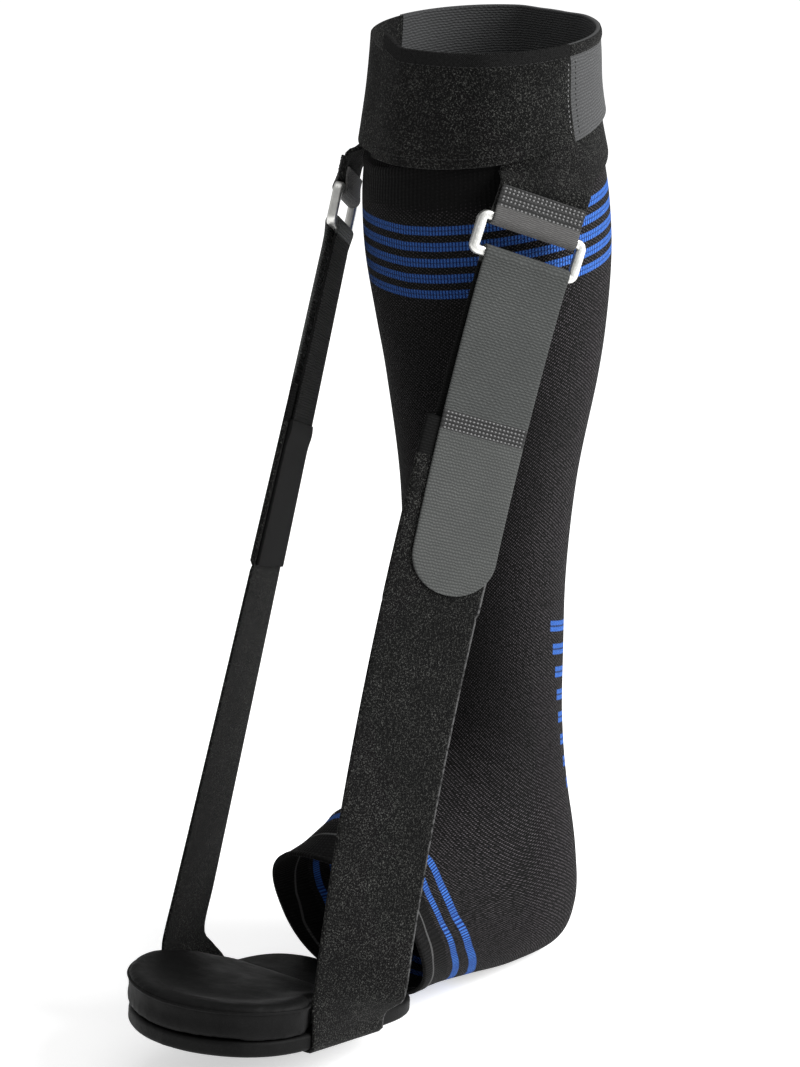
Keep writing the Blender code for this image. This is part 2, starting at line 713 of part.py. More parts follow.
def build():
    clear_scene()
    collection = bpy.data.collections.new(OBJECT_NAME)
    bpy.context.scene.collection.children.link(collection)
    finishes = {
        "knit": material("sleeve_knit", (0.012, 0.012, 0.014), 0.85),
        "plush": material("black_plush", (0.016, 0.016, 0.016), 0.95),
        "elastic": material("cuff_elastic", (0.035, 0.036, 0.038), 0.80),
        "webbing": material("grey_webbing", (0.10, 0.10, 0.105), 0.80),
        "foam": material("pad_foam", (0.014, 0.014, 0.016), 0.60),
        "metal": material("ring_metal", (0.80, 0.80, 0.78), 0.30, 1.0),
    }
    build_sleeve(finishes["knit"], collection)
    build_cuff(finishes, collection)
    for word, side in (("outer", 1), ("inner", -1)):
        add_sheet(word + "_tab", mirrored(tab_rows(), side), TAB_WALL, finishes["plush"], collection)
        add_sheet(word + "_ring_loop", mirrored(ring_loop_rows(), side), WEBBING_WALL,
                  finishes["webbing"], collection)
        build_ring(word + "_ring", side, finishes["metal"], collection)
        add_sheet(word + "_closure_strap", mirrored(closure_rows(), side), WEBBING_WALL,
                  finishes["webbing"], collection)
    build_stirrup(finishes["plush"], collection)
    build_base(finishes["foam"], collection)
    build_wedge(finishes["foam"], collection)


build()
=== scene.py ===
"""The night splint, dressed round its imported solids: knit, plush, webbing, foam and rings."""
import logging
import math
from dataclasses import dataclass
from enum import Enum
from functools import cached_property
from typing import NamedTuple

import bpy
import numpy as np
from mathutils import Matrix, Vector


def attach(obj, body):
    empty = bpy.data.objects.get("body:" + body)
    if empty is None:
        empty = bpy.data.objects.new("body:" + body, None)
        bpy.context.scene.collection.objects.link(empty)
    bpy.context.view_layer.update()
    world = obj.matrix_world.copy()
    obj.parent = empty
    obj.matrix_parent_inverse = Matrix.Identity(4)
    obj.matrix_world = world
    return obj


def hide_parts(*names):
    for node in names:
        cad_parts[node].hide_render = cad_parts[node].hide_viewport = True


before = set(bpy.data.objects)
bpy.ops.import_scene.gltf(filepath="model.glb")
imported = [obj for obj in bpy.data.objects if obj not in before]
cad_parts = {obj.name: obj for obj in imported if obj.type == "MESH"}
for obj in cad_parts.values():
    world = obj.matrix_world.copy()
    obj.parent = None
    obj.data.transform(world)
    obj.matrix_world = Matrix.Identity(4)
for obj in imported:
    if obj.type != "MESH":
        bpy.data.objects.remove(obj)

LOG = logging.getLogger("night_splint")
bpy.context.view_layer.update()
CLEARANCE = 0.0003
SLEEVE_WALL = 0.0016
TAB_WALL = 0.0022
WEBBING_WALL = 0.0012
STRAP_WALL = 0.0025
CUFF_WALL = 0.0026
ELASTIC_WALL = 0.0020
Array = np.ndarray
Grid = Array
Values = Array | float
Piece = bpy.types.Object
Material = bpy.types.Material
Tree = bpy.types.NodeTree
Node = bpy.types.Node
Socket = bpy.types.NodeSocket


class Hold(Enum):
    """How a piece of cloth is held."""

    STRETCHED = "stretched"
    FOLDED = "folded"
    LAID = "laid"


class LegRow(NamedTuple):
    """A level section of the leg, as shares of the leg's height, calf's depth and calf's width."""

    height: float
    front: float
    back: float
    half_width: float


class FootRow(NamedTuple):
    """A turning section of the foot, as shares of its reach, the ankle's height and its width."""

    top_reach: float
    top_height: float
    sole_reach: float
    sole_height: float
    half_width: float
    fullness: float


class PadEdge(NamedTuple):
    """A point of half of a pad's outline, as shares of its length and width."""

    reach: float
    half_width: float


class PadLayer(NamedTuple):
    """A ring of the wedge, as shares of its rim, of its height and of its dish's depth."""

    drawn_in: float
    rise: float
    dish: float


LEG_ROWS: tuple[LegRow, ...] = tuple(LegRow(*row) for row in (
    (1.010, 0.405, 0.420, 0.415), (0.975, 0.418, 0.432, 0.424), (0.940, 0.435, 0.437, 0.434),
    (0.902, 0.457, 0.462, 0.457), (0.865, 0.478, 0.495, 0.482), (0.823, 0.480, 0.522, 0.500),
    (0.769, 0.461, 0.539, 0.500), (0.705, 0.409, 0.530, 0.473), (0.641, 0.361, 0.500, 0.433),
    (0.534, 0.313, 0.409, 0.362), (0.427, 0.309, 0.361, 0.330),
))
FOOT_ROWS: tuple[FootRow, ...] = tuple(FootRow(*row) for row in (
    (0.300, 1.000, -0.361, 1.000, 0.440, 2.0), (0.319, 0.875, -0.370, 0.747, 0.431, 2.1),
    (0.389, 0.808, -0.418, 0.533, 0.438, 2.2), (0.500, 0.772, -0.482, 0.300, 0.438, 2.3),
    (0.620, 0.732, -0.492, 0.125, 0.431, 2.4), (0.730, 0.692, -0.380, 0.018, 0.425, 2.5),
    (0.825, 0.655, -0.060, 0.010, 0.438, 2.5), (0.920, 0.612, 0.250, 0.045, 0.463, 2.5),
    (0.970, 0.590, 0.500, 0.075, 0.495, 2.5), (1.000, 0.575, 0.705, 0.088, 0.530, 2.5),
))
BASE_EDGES: tuple[PadEdge, ...] = tuple(PadEdge(*row) for row in (
    (0.000, 0.000), (0.003, 0.200), (0.020, 0.330), (0.070, 0.430), (0.160, 0.485), (0.300, 0.500),
    (0.480, 0.500), (0.650, 0.500), (0.750, 0.478), (0.830, 0.430), (0.900, 0.350), (0.955, 0.240),
    (0.988, 0.125), (1.000, 0.000),
))
WEDGE_EDGES: tuple[PadEdge, ...] = tuple(PadEdge(*row) for row in (
    (0.000, 0.000), (0.004, 0.250), (0.040, 0.390), (0.120, 0.430), (0.300, 0.435), (0.430, 0.455),
    (0.500, 0.492), (0.580, 0.496), (0.690, 0.460), (0.790, 0.400), (0.880, 0.310), (0.945, 0.210),
    (0.985, 0.105), (1.000, 0.000),
))
WEDGE_LAYERS: tuple[PadLayer, ...] = tuple(PadLayer(*row) for row in (
    (1.60, 0.00, 0.00), (0.90, 0.00, 0.00), (0.30, 0.00, 0.00), (0.09, 0.00, 0.00), (0.01, 0.08, 0.00),
    (0.00, 0.22, 0.00), (0.035, 0.50, 0.00), (0.00, 0.80, 0.00), (0.05, 0.96, 0.00), (0.20, 1.00, 0.00),
    (0.34, 0.98, 0.12), (0.62, 1.00, 0.60), (1.00, 1.00, 1.00), (1.60, 1.00, 1.05),
))


def smooth_rows(table: Array, levels: Array) -> Array:
    """Read a table between its rows, on the smooth curve through them.

    Args:
        table: One row for each section.
        levels: Places in the table, where 0 is its first row.

    Returns:
        The table's columns at each level, along a last axis.
    """
    last = len(table) - 1
    level = np.clip(np.asarray(levels, float), 0.0, last)
    index = np.minimum(level.astype(int), last - 1)
    share = (level - index)[..., None]
    before, start, end, after = (table[np.clip(index + step, 0, last)] for step in (-1, 0, 1, 2))
    square, cube = share ** 2, share ** 3
    return ((2 * cube - 3 * square + 1) * start + (cube - 2 * square + share) * (end - before) / 2
            + (3 * square - 2 * cube) * end + (cube - square) * (after - start) / 2)


def ramp(value: Values, start: Values, end: Values) -> Array:
    """A soft ramp from 0 at the start to 1 at the end."""
    share = np.clip((np.asarray(value, float) - start) / (np.asarray(end) - start), 0.0, 1.0)
    return share * share * (3 - 2 * share)


def wrap(angles: Array) -> Array:
    """The same bearings, between minus and plus half a turn."""
    return np.remainder(angles + math.pi, 2 * math.pi) - math.pi


def squared(values: Array, power: Values) -> Array:
    """Each value's sign times its size to a power, which makes a circle squarer."""
    return np.sign(values) * np.abs(values) ** power


def unit(vectors: Array) -> Array:
    """The vectors along the last axis, each brought to length 1."""
    return vectors / np.maximum(np.linalg.norm(vectors, axis=-1, keepdims=True), 1e-12)


@dataclass(frozen=True)
class Limb:
    """The form that the sleeve is knitted to, in sections from the calf to the middle of the foot."""

    leg_height: float = 0.468
    calf_width: float = 0.112
    calf_depth: float = 0.115
    ankle_height: float = 0.150
    foot_reach: float = 0.1145
    foot_width: float = 0.080
    slope_step: float = 0.02
    halvings: int = 40

    @cached_property
    def sections(self) -> Array:
        """Both tables in metres: front y and z, back y and z, half width, fullness.

        Returns:
            One row of six numbers for each section.
        """
        leg = [(-row.front * self.calf_depth, row.height * self.leg_height,
                row.back * self.calf_depth, row.height * self.leg_height,
                row.half_width * self.calf_width, 2.0) for row in LEG_ROWS]
        foot = [(-row.top_reach * self.foot_reach, row.top_height * self.ankle_height,
                 -row.sole_reach * self.foot_reach, row.sole_height * self.ankle_height,
                 row.half_width * self.foot_width, row.fullness) for row in FOOT_ROWS]
        return np.array(leg + foot)

    @property
    def last_level(self) -> float:
        """The level of the toe hem."""
        return float(len(self.sections) - 1)

    def surface(self, levels: Array, angles: Array) -> Array:
        """Points on the limb.

        Args:
            levels: Rows of the tables.
            angles: Bearings round the limb, 0 at the front of the leg and a quarter turn at +X.

        Returns:
            The points, along a last axis of three.
        """
        front_y, front_z, back_y, back_z, half, full = np.moveaxis(smooth_rows(self.sections, levels), -1, 0)
        power = 2 / full
        forward, aside = squared(np.cos(angles), power), squared(np.sin(angles), power)
        return np.stack([half * aside, (front_y + back_y) / 2 + (front_y - back_y) / 2 * forward,
                         (front_z + back_z) / 2 + (front_z - back_z) / 2 * forward], axis=-1)

    def points(self, levels: Array, angles: Array, offset: Values = 0.0) -> Array:
        """Points that stand off the limb along its outward normals.

        Args:
            levels: Rows of the tables.
            angles: Bearings round the limb.
            offset: How far the points stand off.

        Returns:
            The points, along a last axis of three.
        """
        levels, angles = np.broadcast_arrays(np.asarray(levels, float), np.asarray(angles, float))
        step = self.slope_step
        around = self.surface(levels, angles + step) - self.surface(levels, angles - step)
        along = self.surface(levels + step, angles) - self.surface(levels - step, angles)
        return self.surface(levels, angles) + unit(np.cross(along, around)) * np.asarray(offset)[..., None]

    def level_at(self, heights: Values) -> Array:
        """The level of the leg's section at each height, by halving.

        Args:
            heights: Heights above the heel seat.

        Returns:
            One level for each height.
        """
        low = np.zeros_like(np.asarray(heights, float))
        high = low + len(LEG_ROWS)
        for _ in range(self.halvings):
            middle = (low + high) / 2
            above = smooth_rows(self.sections, middle)[..., 1] > heights
            low, high = np.where(above, middle, low), np.where(above, high, middle)
        return (low + high) / 2


LIMB = Limb()


class Bearing(NamedTuple):
    """A value at a bearing in degrees: a rise as a share of the leg's height, or a level."""

    degrees: float
    value: float


class Place(NamedTuple):
    """A point with the directions across, outward and up the strap."""

    centre: Array
    across: Array
    outward: Array
    up: Array


@dataclass(frozen=True)
class RingSeat:
    """Where the outer ring hangs, and the sizes of its opening."""

    height: float = 0.378
    radius: float = 0.0666
    bearing: float = math.radians(57.5)
    wire: float = 0.0045
    opening_length: float = 0.0440
    opening_height: float = 0.0120
    corner: float = 0.0025
    end_roundness: float = 0.31
    lean: float = math.radians(23)
    spread: float = math.radians(3.5)

    @cached_property
    def place(self) -> Place:
        """The middle of the ring.

        Returns:
            Its centre and its directions.
        """
        bearing = np.array([math.sin(self.bearing), -math.cos(self.bearing), 0.0])
        centre = bearing * self.radius
        centre[2] = self.height
        up = unit(np.array([math.tan(self.spread), math.tan(self.lean), 1.0]))
        outward = unit(bearing - up * bearing.dot(up))
        return Place(centre, np.cross(up, outward), outward, up)

    @property
    def bar(self) -> float:
        """Middle of the ring to the middle of its upper or lower bar."""
        return (self.opening_height + self.wire) / 2

    def tab_bearing(self, heights: Values) -> Array:
        """Bearing of the middle of the tab.

        Args:
            heights: Heights above the heel seat.

        Returns:
            One bearing for each height.
        """
        rise = (np.asarray(heights, float) - self.place.centre[2]) / self.place.up[2]
        above = self.place.centre + rise[..., None] * self.place.up
        return np.arctan2(above[..., 0], -above[..., 1])


RING = RingSeat()


@dataclass(frozen=True)
class CuffLine:
    """The cuff's edges and how far it stands off the limb."""

    front_height: float = 0.053
    back_height: float = 0.036
    top_rise: float = 0.004
    front_start: float = math.radians(-21)
    seam: float = math.radians(86)
    ear_rise: float = 0.0045
    ear_span: float = math.radians(16)
    lap_ease: float = math.radians(12)
    closure_start: float = math.radians(-92)
    closure_end: float = math.radians(-6)
    closure_drop_start: float = math.radians(-55)
    closure_drop: float = 0.009
    tab_width: float = 0.0430
    tab_wing: float = 0.050
    relief: float = 0.0004
    relief_margin: float = math.radians(6)
    relief_ease: float = math.radians(16)
    sleeve_tuck: float = 0.006
    sleeve_dip: float = 0.0135
    sleeve_dip_at: float = math.radians(-44)

    def top(self, angles: Array) -> Array:
        """Height of the top edge at each bearing."""
        return LIMB.leg_height - self.top_rise * (1 + np.cos(angles)) / 2

    def bottom(self, angles: Array) -> Array:
        """Height of the bottom edge at each bearing."""
        share = (1 + np.cos(angles)) / 2
        return self.top(angles) - self.back_height - (self.front_height - self.back_height) * share

    def sleeve_top(self, angles: Array) -> Array:
        """Height of the sleeve's hem at each bearing."""
        dip = np.maximum(0.0, np.cos(angles - self.sleeve_dip_at)) ** 2
        return self.bottom(angles) + self.sleeve_tuck - self.sleeve_dip * dip

    def offset(self, angles: Array) -> Array:
        """Stand-off of the cuff's inner face, which passes over the tabs.

        Args:
            angles: Bearings round the limb.

        Returns:
            A distance for each bearing.
        """
        over = np.abs(wrap(angles))
        middle = RING.tab_bearing(self.bottom(over))
        half = self.tab_width / LIMB.calf_width + self.relief_margin
        half = half + np.where(over > middle, 2 * self.tab_wing / LIMB.calf_width, 0.0)
        lift = 1 - ramp(np.abs(over - middle), half, half + self.relief_ease)
        return SLEEVE_WALL + CLEARANCE + (TAB_WALL + self.relief) * lift


CUFF = CuffLine()


def grid_normals(points: Grid, closed: bool = False) -> Grid:
    """Outward normals of a grid whose rows run along a piece and columns across it.

    Args:
        points: The grid's points.
        closed: Whether the last column meets the first.

    Returns:
        A unit normal for each point.
    """
    along = np.gradient(points, axis=0)
    if closed:
        across = (np.roll(points, -1, axis=1) - np.roll(points, 1, axis=1)) / 2
    else:
        across = np.gradient(points, axis=1)
    return unit(np.cross(along, across))


def arc_lengths(points: Grid, axis: int) -> Array:
    """Distance travelled along one axis of a grid, from 0 at its first row or column.

    Args:
        points: The grid's points.
        axis: 0 for along the piece, 1 for across it.

    Returns:
        A distance for each point.
    """
    steps = np.linalg.norm(np.diff(points, axis=axis), axis=-1)
    start = np.zeros_like(np.take(steps, [0], axis=axis))
    return np.concatenate([start, np.cumsum(steps, axis=axis)], axis=axis)


def resample(points: Grid, pitch: float) -> Grid:
    """Space a grid's rows evenly along the middle of the piece, on smooth curves.

    Args:
        points: Rows of points, roughly spaced.
        pitch: The distance wanted between rows.

    Returns:
        The same sheet with more rows.
    """
    travel = arc_lengths(points, 0).mean(axis=1)
    wanted = np.linspace(0.0, travel[-1], max(3, int(travel[-1] / pitch) + 1))
    levels = np.interp(wanted, travel, np.arange(len(travel)))
    flat = points.reshape(len(points), -1)
    return smooth_rows(flat, levels).reshape(len(wanted), points.shape[1], 3)


def add_mesh(name: str, points: Array, faces: list[tuple[int, ...]], maps: dict[str, Array],
             sharp: float = 50.0) -> Piece:
    """Make an object from points and faces.

    Args:
        name: The piece's name.
        points: Vertex places in metres.
        faces: Corner numbers of each face, facing outwards.
        maps: A UV map for each name, with a pair for each corner of each face.
        sharp: Angle in degrees past which an edge stays sharp.

    Returns:
        The new object, linked to the scene.
    """
    mesh = bpy.data.meshes.new(name)
    mesh.from_pydata(points.tolist(), [], faces)
    for title, pairs in maps.items():
        layer = mesh.uv_layers.new(name=title)
        layer.data.foreach_set("uv", np.asarray(pairs, np.float32).ravel())
    mesh.shade_smooth()
    mesh.set_sharp_from_angle(angle=math.radians(sharp))
    piece = bpy.data.objects.new(name, mesh)
    bpy.context.scene.collection.objects.link(piece)
    return piece


def add_shell(name: str, inner: Grid, outer: Grid, maps: dict[str, Grid] | None = None,
              closed: bool = False, bulge: float = 0.8) -> Piece:
    """A wall of cloth between two grids, with round edges all along its rim.

    Faces on the inside have material 1, and the others material 0.

    Args:
        name: The piece's name.
        inner: Inside face, rows along the piece and columns across it.
        outer: Outside face on the same grid.
        maps: A UV pair for each point of the grid, with one more column on a closed piece. Without
            any, the outside face is mapped as cloth.
        closed: Whether the last column meets the first.
        bulge: How far the rim stands out, as a share of half the wall.

    Returns:
        The wall as one closed mesh.
    """
    maps = maps or {"cloth": cloth_map(outer)}
    rows, columns = inner.shape[:2]
    spans = columns if closed else columns - 1
    points = [outer.reshape(-1, 3), inner.reshape(-1, 3)]
    faces: list[tuple[int, ...]] = []
    corners: list[tuple[tuple[int, int], ...]] = []
    below = rows * columns
    for row in range(rows - 1):
        for column in range(spans):
            ahead = (column + 1) % columns
            square = ((row, column), (row + 1, column), (row + 1, column + 1), (row, column + 1))
            quad = (row * columns + column, (row + 1) * columns + column,
                    (row + 1) * columns + ahead, row * columns + ahead)
            faces += [quad, tuple(below + corner for corner in reversed(quad))]
            corners += [square, square[::-1]]
    walls = len(faces)
    if closed:
        rims = [[(0, column) for column in reversed(range(columns))],
                [(rows - 1, column) for column in range(columns)]]
    else:
        rims = [[(row, 0) for row in range(rows - 1)] + [(rows - 1, column) for column in range(columns - 1)]
                + [(row, columns - 1) for row in range(rows - 1, 0, -1)]
                + [(0, column) for column in range(columns - 1, 0, -1)]]
    total = 2 * below
    for rim in rims:
        index = np.array(rim)
        inside = index.copy()
        inside[:, 0] = np.clip(index[:, 0], 1, rows - 2)
        if not closed:
            inside[:, 1] = np.clip(index[:, 1], 1, columns - 2)
        upper, lower = outer[index[:, 0], index[:, 1]], inner[index[:, 0], index[:, 1]]
        middle, rise = (upper + lower) / 2, (upper - lower) / 2
        away = middle - (outer + inner)[inside[:, 0], inside[:, 1]] / 2
        away -= unit(rise) * np.sum(away * unit(rise), axis=1, keepdims=True)
        reach = unit(away) * np.linalg.norm(rise, axis=1, keepdims=True) * bulge
        rings = [[row * columns + column for row, column in rim]]
        for turn in (math.pi / 4, 0.0, -math.pi / 4):
            points.append(middle + rise * math.sin(turn) + reach * math.cos(turn))
            rings.append(list(range(total, total + len(rim))))
            total += len(rim)
        rings.append([below + row * columns + column for row, column in rim])
        for first, second in zip(rings, rings[1:]):
            for step in range(len(rim)):
                ahead = (step + 1) % len(rim)
                faces.append((first[step], second[step], second[ahead], first[ahead]))
                one, two = rim[step], rim[ahead]
                if closed and abs(one[1] - two[1]) > 1:
                    one, two = ((one[0], columns), two) if one[1] == 0 else (one, (two[0], columns))
                corners.append((one, one, two, two))
    order = np.array([corner for face in corners for corner in face])
    pairs = {title: grid[order[:, 0], order[:, 1]] for title, grid in maps.items()}
    piece = add_mesh(name, np.concatenate(points), faces, pairs)
    slots = np.zeros(len(faces), np.int32)
    slots[1:walls:2] = 1
    piece.data.polygons.foreach_set("material_index", slots)
    return piece


def repaint(piece: Piece, slot: int, low: float, high: float) -> None:
    """Give another material to the outside faces between two distances along a piece.

    Args:
        piece: A piece with a cloth map.
        slot: The material's number.
        low: Distance along the piece where the faces begin.
        high: Distance along the piece where they end.
    """
    layer = piece.data.uv_layers["cloth"].data
    for face in piece.data.polygons:
        along = sum(layer[corner].uv[1] for corner in face.loop_indices) / face.loop_total
        if face.material_index == 0 and low <= along <= high:
            face.material_index = slot


def sweep(name: str, path: Array, side: Array, outward: Array, section: Array) -> Piece:
    """A closed loop of one section carried round a path.

    Args:
        name: The piece's name.
        path: Points round the loop.
        side: The section's first direction at each point.
        outward: Its second direction at each point, or one for all.
        section: Points of the section, in metres along both directions.

    Returns:
        The loop as one closed mesh.
    """
    tube = (path[:, None] + side[:, None] * section[None, :, :1]
            + np.reshape(outward, (-1, 1, 3)) * section[None, :, 1:])
    count, sides = tube.shape[:2]
    faces = [(row * sides + column, (row + 1) % count * sides + column,
              (row + 1) % count * sides + (column + 1) % sides, row * sides + (column + 1) % sides)
             for row in range(count) for column in range(sides)]
    facing = np.cross(tube[1, 0] - tube[0, 0], tube[0, 1] - tube[0, 0])
    if float(facing.dot(tube[0, 0] - tube[0].mean(axis=0))) < 0:
        faces = [face[::-1] for face in faces]
    return add_mesh(name, tube.reshape(-1, 3), faces, {})


def cloth_map(points: Grid) -> Grid:
    """Distances across and along a sheet in metres, for its weave.

    Args:
        points: The sheet's outside face.

    Returns:
        A pair for each point.
    """
    across = arc_lengths(points, 1)
    along = arc_lengths(points, 0)
    across = across - across[:, -1:] / 2
    return np.stack([across, along.mean(axis=1, keepdims=True) + 0 * along], axis=-1)


def flip(points: Grid) -> Grid:
    """The mirror image of a grid on the inner side, with its columns turned round."""
    return points[:, ::-1] * np.array([-1.0, 1.0, 1.0])


class Wiring:
    """Short calls that add shader nodes and join them."""

    def __init__(self, tree: Tree) -> None:
        """Keep the tree that nodes are added to."""
        self.tree = tree

    def feed(self, socket: Socket, value: object) -> None:
        """Link a socket to another, or set it to a plain value.

        Args:
            socket: The input.
            value: The plain value or the other socket.
        """
        if isinstance(value, Socket):
            self.tree.links.new(value, socket)
        else:
            socket.default_value = value

    def add(self, kind: str, inputs: dict[int | str, object] | None = None, **settings: object) -> Node:
        """Add a node.

        Args:
            kind: The node's type.
            inputs: A value or another socket for each input that is set.
            **settings: The node's own settings.

        Returns:
            The new node.
        """
        node = self.tree.nodes.new(kind)
        for title, value in settings.items():
            setattr(node, title, value)
        for title, value in (inputs or {}).items():
            self.feed(node.inputs[title], value)
        return node

    def math(self, operation: str, *values: object) -> Socket:
        """A Math node's result for one to three values."""
        return self.add("ShaderNodeMath", dict(enumerate(values)), operation=operation).outputs[0]

    def times(self, first: object, second: object) -> Socket:
        """The product of two values."""
        return self.math("MULTIPLY", first, second)

    def linear(self, value: object, factor: object, offset: object) -> Socket:
        """A value times a factor, plus an offset."""
        return self.math("MULTIPLY_ADD", value, factor, offset)

    def less(self, value: object) -> Socket:
        """One minus a value."""
        return self.math("SUBTRACT", 1.0, value)

    def noise(self, vector: object, scale: float, detail: float = 2.0, roughness: float = 0.5) -> Socket:
        """A Noise Texture's value."""
        inputs = {"Vector": vector, "Scale": scale, "Detail": detail, "Roughness": roughness}
        return self.add("ShaderNodeTexNoise", inputs).outputs[0]

    def step(self, value: object, low: object, high: object) -> Socket:
        """A soft step from 0 below low to 1 above high."""
        inputs = {"Value": value, "From Min": low, "From Max": high}
        return self.add("ShaderNodeMapRange", inputs, interpolation_type="SMOOTHSTEP").outputs[0]

    def mix(self, factor: object, first: object, second: object) -> Socket:
        """A mix of two colours.

        Args:
            factor: Share of the second colour.
            first: The first colour.
            second: The second colour.

        Returns:
            The mixed colour.
        """
        node = self.add("ShaderNodeMix", data_type="RGBA")
        for number, value in ((0, factor), (6, first), (7, second)):
            self.feed(node.inputs[number], value)
        return node.outputs[2]

    def wave(self, value: object, pitch: object) -> Socket:
        """A cosine wave between 0 and 1 with its crest at 0, repeating at a pitch."""
        turns = self.times(self.math("DIVIDE", value, pitch), 2 * math.pi)
        return self.linear(self.math("COSINE", turns), 0.5, 0.5)

    def band(self, value: object, middle: float, width: float, soft: float) -> Socket:
        """1 within a band round a middle value, with soft sides."""
        away = self.math("ABSOLUTE", self.math("SUBTRACT", value, middle))
        return self.less(self.step(away, width / 2 - soft, width / 2 + soft))

    def group(self, tree: Tree, vector: object, **values: object) -> Node:
        """Place a shared effect in the material, fed with a vector and its named values.

        Args:
            tree: The effect.
            vector: Where on the piece it is read.
            **values: Its other inputs.

        Returns:
            The effect's node.
        """
        node = self.add("ShaderNodeGroup", node_tree=tree)
        self.feed(node.inputs["Vector"], vector)
        for title, value in values.items():
            self.feed(node.inputs[title.capitalize()], value)
        return node

    def bump(self, shader: Node, height: object, depth: float) -> None:
        """Give the shader a relief of a depth in metres."""
        node = self.add("ShaderNodeBump", {"Height": height, "Distance": depth})
        self.feed(shader.inputs["Normal"], node.outputs[0])

    def uv(self, title: str = "cloth") -> Socket:
        """One of the piece's own maps."""
        return self.add("ShaderNodeUVMap", uv_map=title).outputs[0]

    def place(self) -> Socket:
        """Object coordinates."""
        return self.add("ShaderNodeTexCoord").outputs["Object"]


def new_group(name: str, inputs: dict[str, float | str],
              outputs: list[str]) -> tuple[Tree, Wiring, Node, Node]:
    """Start a shader node group.

    Args:
        name: The group's name.
        inputs: A default for each number it takes, or "vector" for a vector.
        outputs: Names of the numbers it gives.

    Returns:
        The group, its wiring, its input node and its output node.
    """
    tree = bpy.data.node_groups.new(name, "ShaderNodeTree")
    for title, value in inputs.items():
        kind = "NodeSocketVector" if value == "vector" else "NodeSocketFloat"
        socket = tree.interface.new_socket(name=title, in_out="INPUT", socket_type=kind)
        if kind == "NodeSocketFloat":
            socket.default_value = value
    for title in outputs:
        tree.interface.new_socket(name=title, in_out="OUTPUT", socket_type="NodeSocketFloat")
    wiring = Wiring(tree)
    return tree, wiring, wiring.add("NodeGroupInput"), wiring.add("NodeGroupOutput")


def knit_group() -> Tree:
    """Knitted loops: staggered dots, or ribs where Rib is 1.

    Returns:
        The shader group.
    """
    inputs = {"Vector": "vector", "Wale": 0.0020, "Course": 0.0017, "Rib": 0.0}
    tree, wire, taken, given = new_group("knitted loops", inputs, ["Height", "Crown_highlight"])
    vector = taken.outputs["Vector"]
    parts = wire.add("ShaderNodeSeparateXYZ", {0: vector})
    across = wire.times(wire.math("DIVIDE", parts.outputs[0], taken.outputs["Wale"]), 2 * math.pi)
    along = wire.times(wire.math("DIVIDE", parts.outputs[1], taken.outputs["Course"]), 2 * math.pi)
    dots = wire.times(wire.math("COSINE", across), wire.math("COSINE", along))
    dots = wire.linear(dots, 0.5, 0.5)
    loops = wire.linear(wire.math("COSINE", along), 0.12, 0.32)
    ribs = wire.linear(wire.math("COSINE", across), 0.24, loops)
    chosen = {0: taken.outputs["Rib"], 2: dots, 3: ribs}
    mixed = wire.add("ShaderNodeMix", chosen, data_type="FLOAT").outputs[0]
    rough = wire.noise(vector, 900.0, 2.0)
    wire.feed(given.inputs["Height"], wire.linear(rough, 0.5, mixed))
    # The second output marks the loop tops, where the finishes paint a highlight.
    wire.feed(given.inputs["Crown_highlight"], wire.times(wire.step(mixed, 0.56, 0.92), wire.step(rough, 0.36, 0.58)))
    return tree


def nap_group() -> Tree:
    """Loop plush: a rough height and scattered flecks that catch the light.

    Returns:
        The shader group.
    """
    inputs = {"Vector": "vector", "Size": 0.0008}
    tree, wire, taken, given = new_group("plush nap", inputs, ["Height", "Fleck_highlight"])
    vector = taken.outputs["Vector"]
    scale = wire.math("DIVIDE", 1.0, taken.outputs["Size"])
    coarse = wire.noise(vector, scale, 2.0, 0.6)
    fine = wire.noise(vector, wire.times(scale, 2.1), 2.0, 0.6)
    wire.feed(given.inputs["Height"], wire.linear(fine, 0.5, coarse))
    flecks = wire.times(wire.step(coarse, 0.47, 0.66), wire.step(fine, 0.42, 0.62))
    wire.feed(given.inputs["Fleck_highlight"], flecks)
    return tree


def weave_group() -> Tree:
    """Webbing: ribs across the length, each a row of short floats that step from row to row.

    Returns:
        The shader group.
    """
    inputs = {"Vector": "vector", "Rib": 0.0019, "Float": 0.0014}
    tree, wire, taken, given = new_group("woven ribs", inputs, ["Height", "Groove_shade"])
    vector = taken.outputs["Vector"]
    parts = wire.add("ShaderNodeSeparateXYZ", {0: vector})
    wander = wire.linear(wire.noise(vector, 260.0, 2.0), 0.0014, parts.outputs[1])
    rib = wire.wave(wander, taken.outputs["Rib"])
    number = wire.math("FLOOR", wire.math("ADD", wire.math("DIVIDE", wander, taken.outputs["Rib"]), 0.5))
    stepped = wire.linear(wire.times(number, taken.outputs["Float"]), 0.5, parts.outputs[0])
    floats = wire.wave(stepped, taken.outputs["Float"])
    fuzz = wire.noise(vector, 1500.0, 2.0)
    body = wire.times(rib, wire.linear(floats, 0.62, 0.38))
    wire.feed(given.inputs["Height"], wire.linear(fuzz, 0.4, body))
    # Painted shade: the low parts between ribs and floats, which the finishes colour darker.
    groove = wire.less(wire.step(body, 0.05, 0.6))
    wire.feed(given.inputs["Groove_shade"], wire.times(groove, wire.linear(fuzz, 0.8, 0.4)))
    return tree


def wear_group() -> Tree:
    """Broad unevenness of dye and handling.

    Returns:
        The shader group.
    """
    tree, wire, taken, given = new_group("handling", {"Vector": "vector", "Size": 0.03}, ["Tone"])
    scale = wire.math("DIVIDE", 1.0, taken.outputs["Size"])
    blotches = wire.noise(taken.outputs["Vector"], scale, 4.0, 0.6)
    wire.feed(given.inputs["Tone"], wire.step(blotches, 0.3, 0.7))
    return tree


@dataclass(frozen=True)
class Effects:
    """The node groups that the finishes share."""

    knit: Tree
    nap: Tree
    weave: Tree
    wear: Tree


def make_effects() -> Effects:
    """Build each shared effect once."""
    return Effects(knit_group(), nap_group(), weave_group(), wear_group())


Colour = tuple[float, float, float, float]


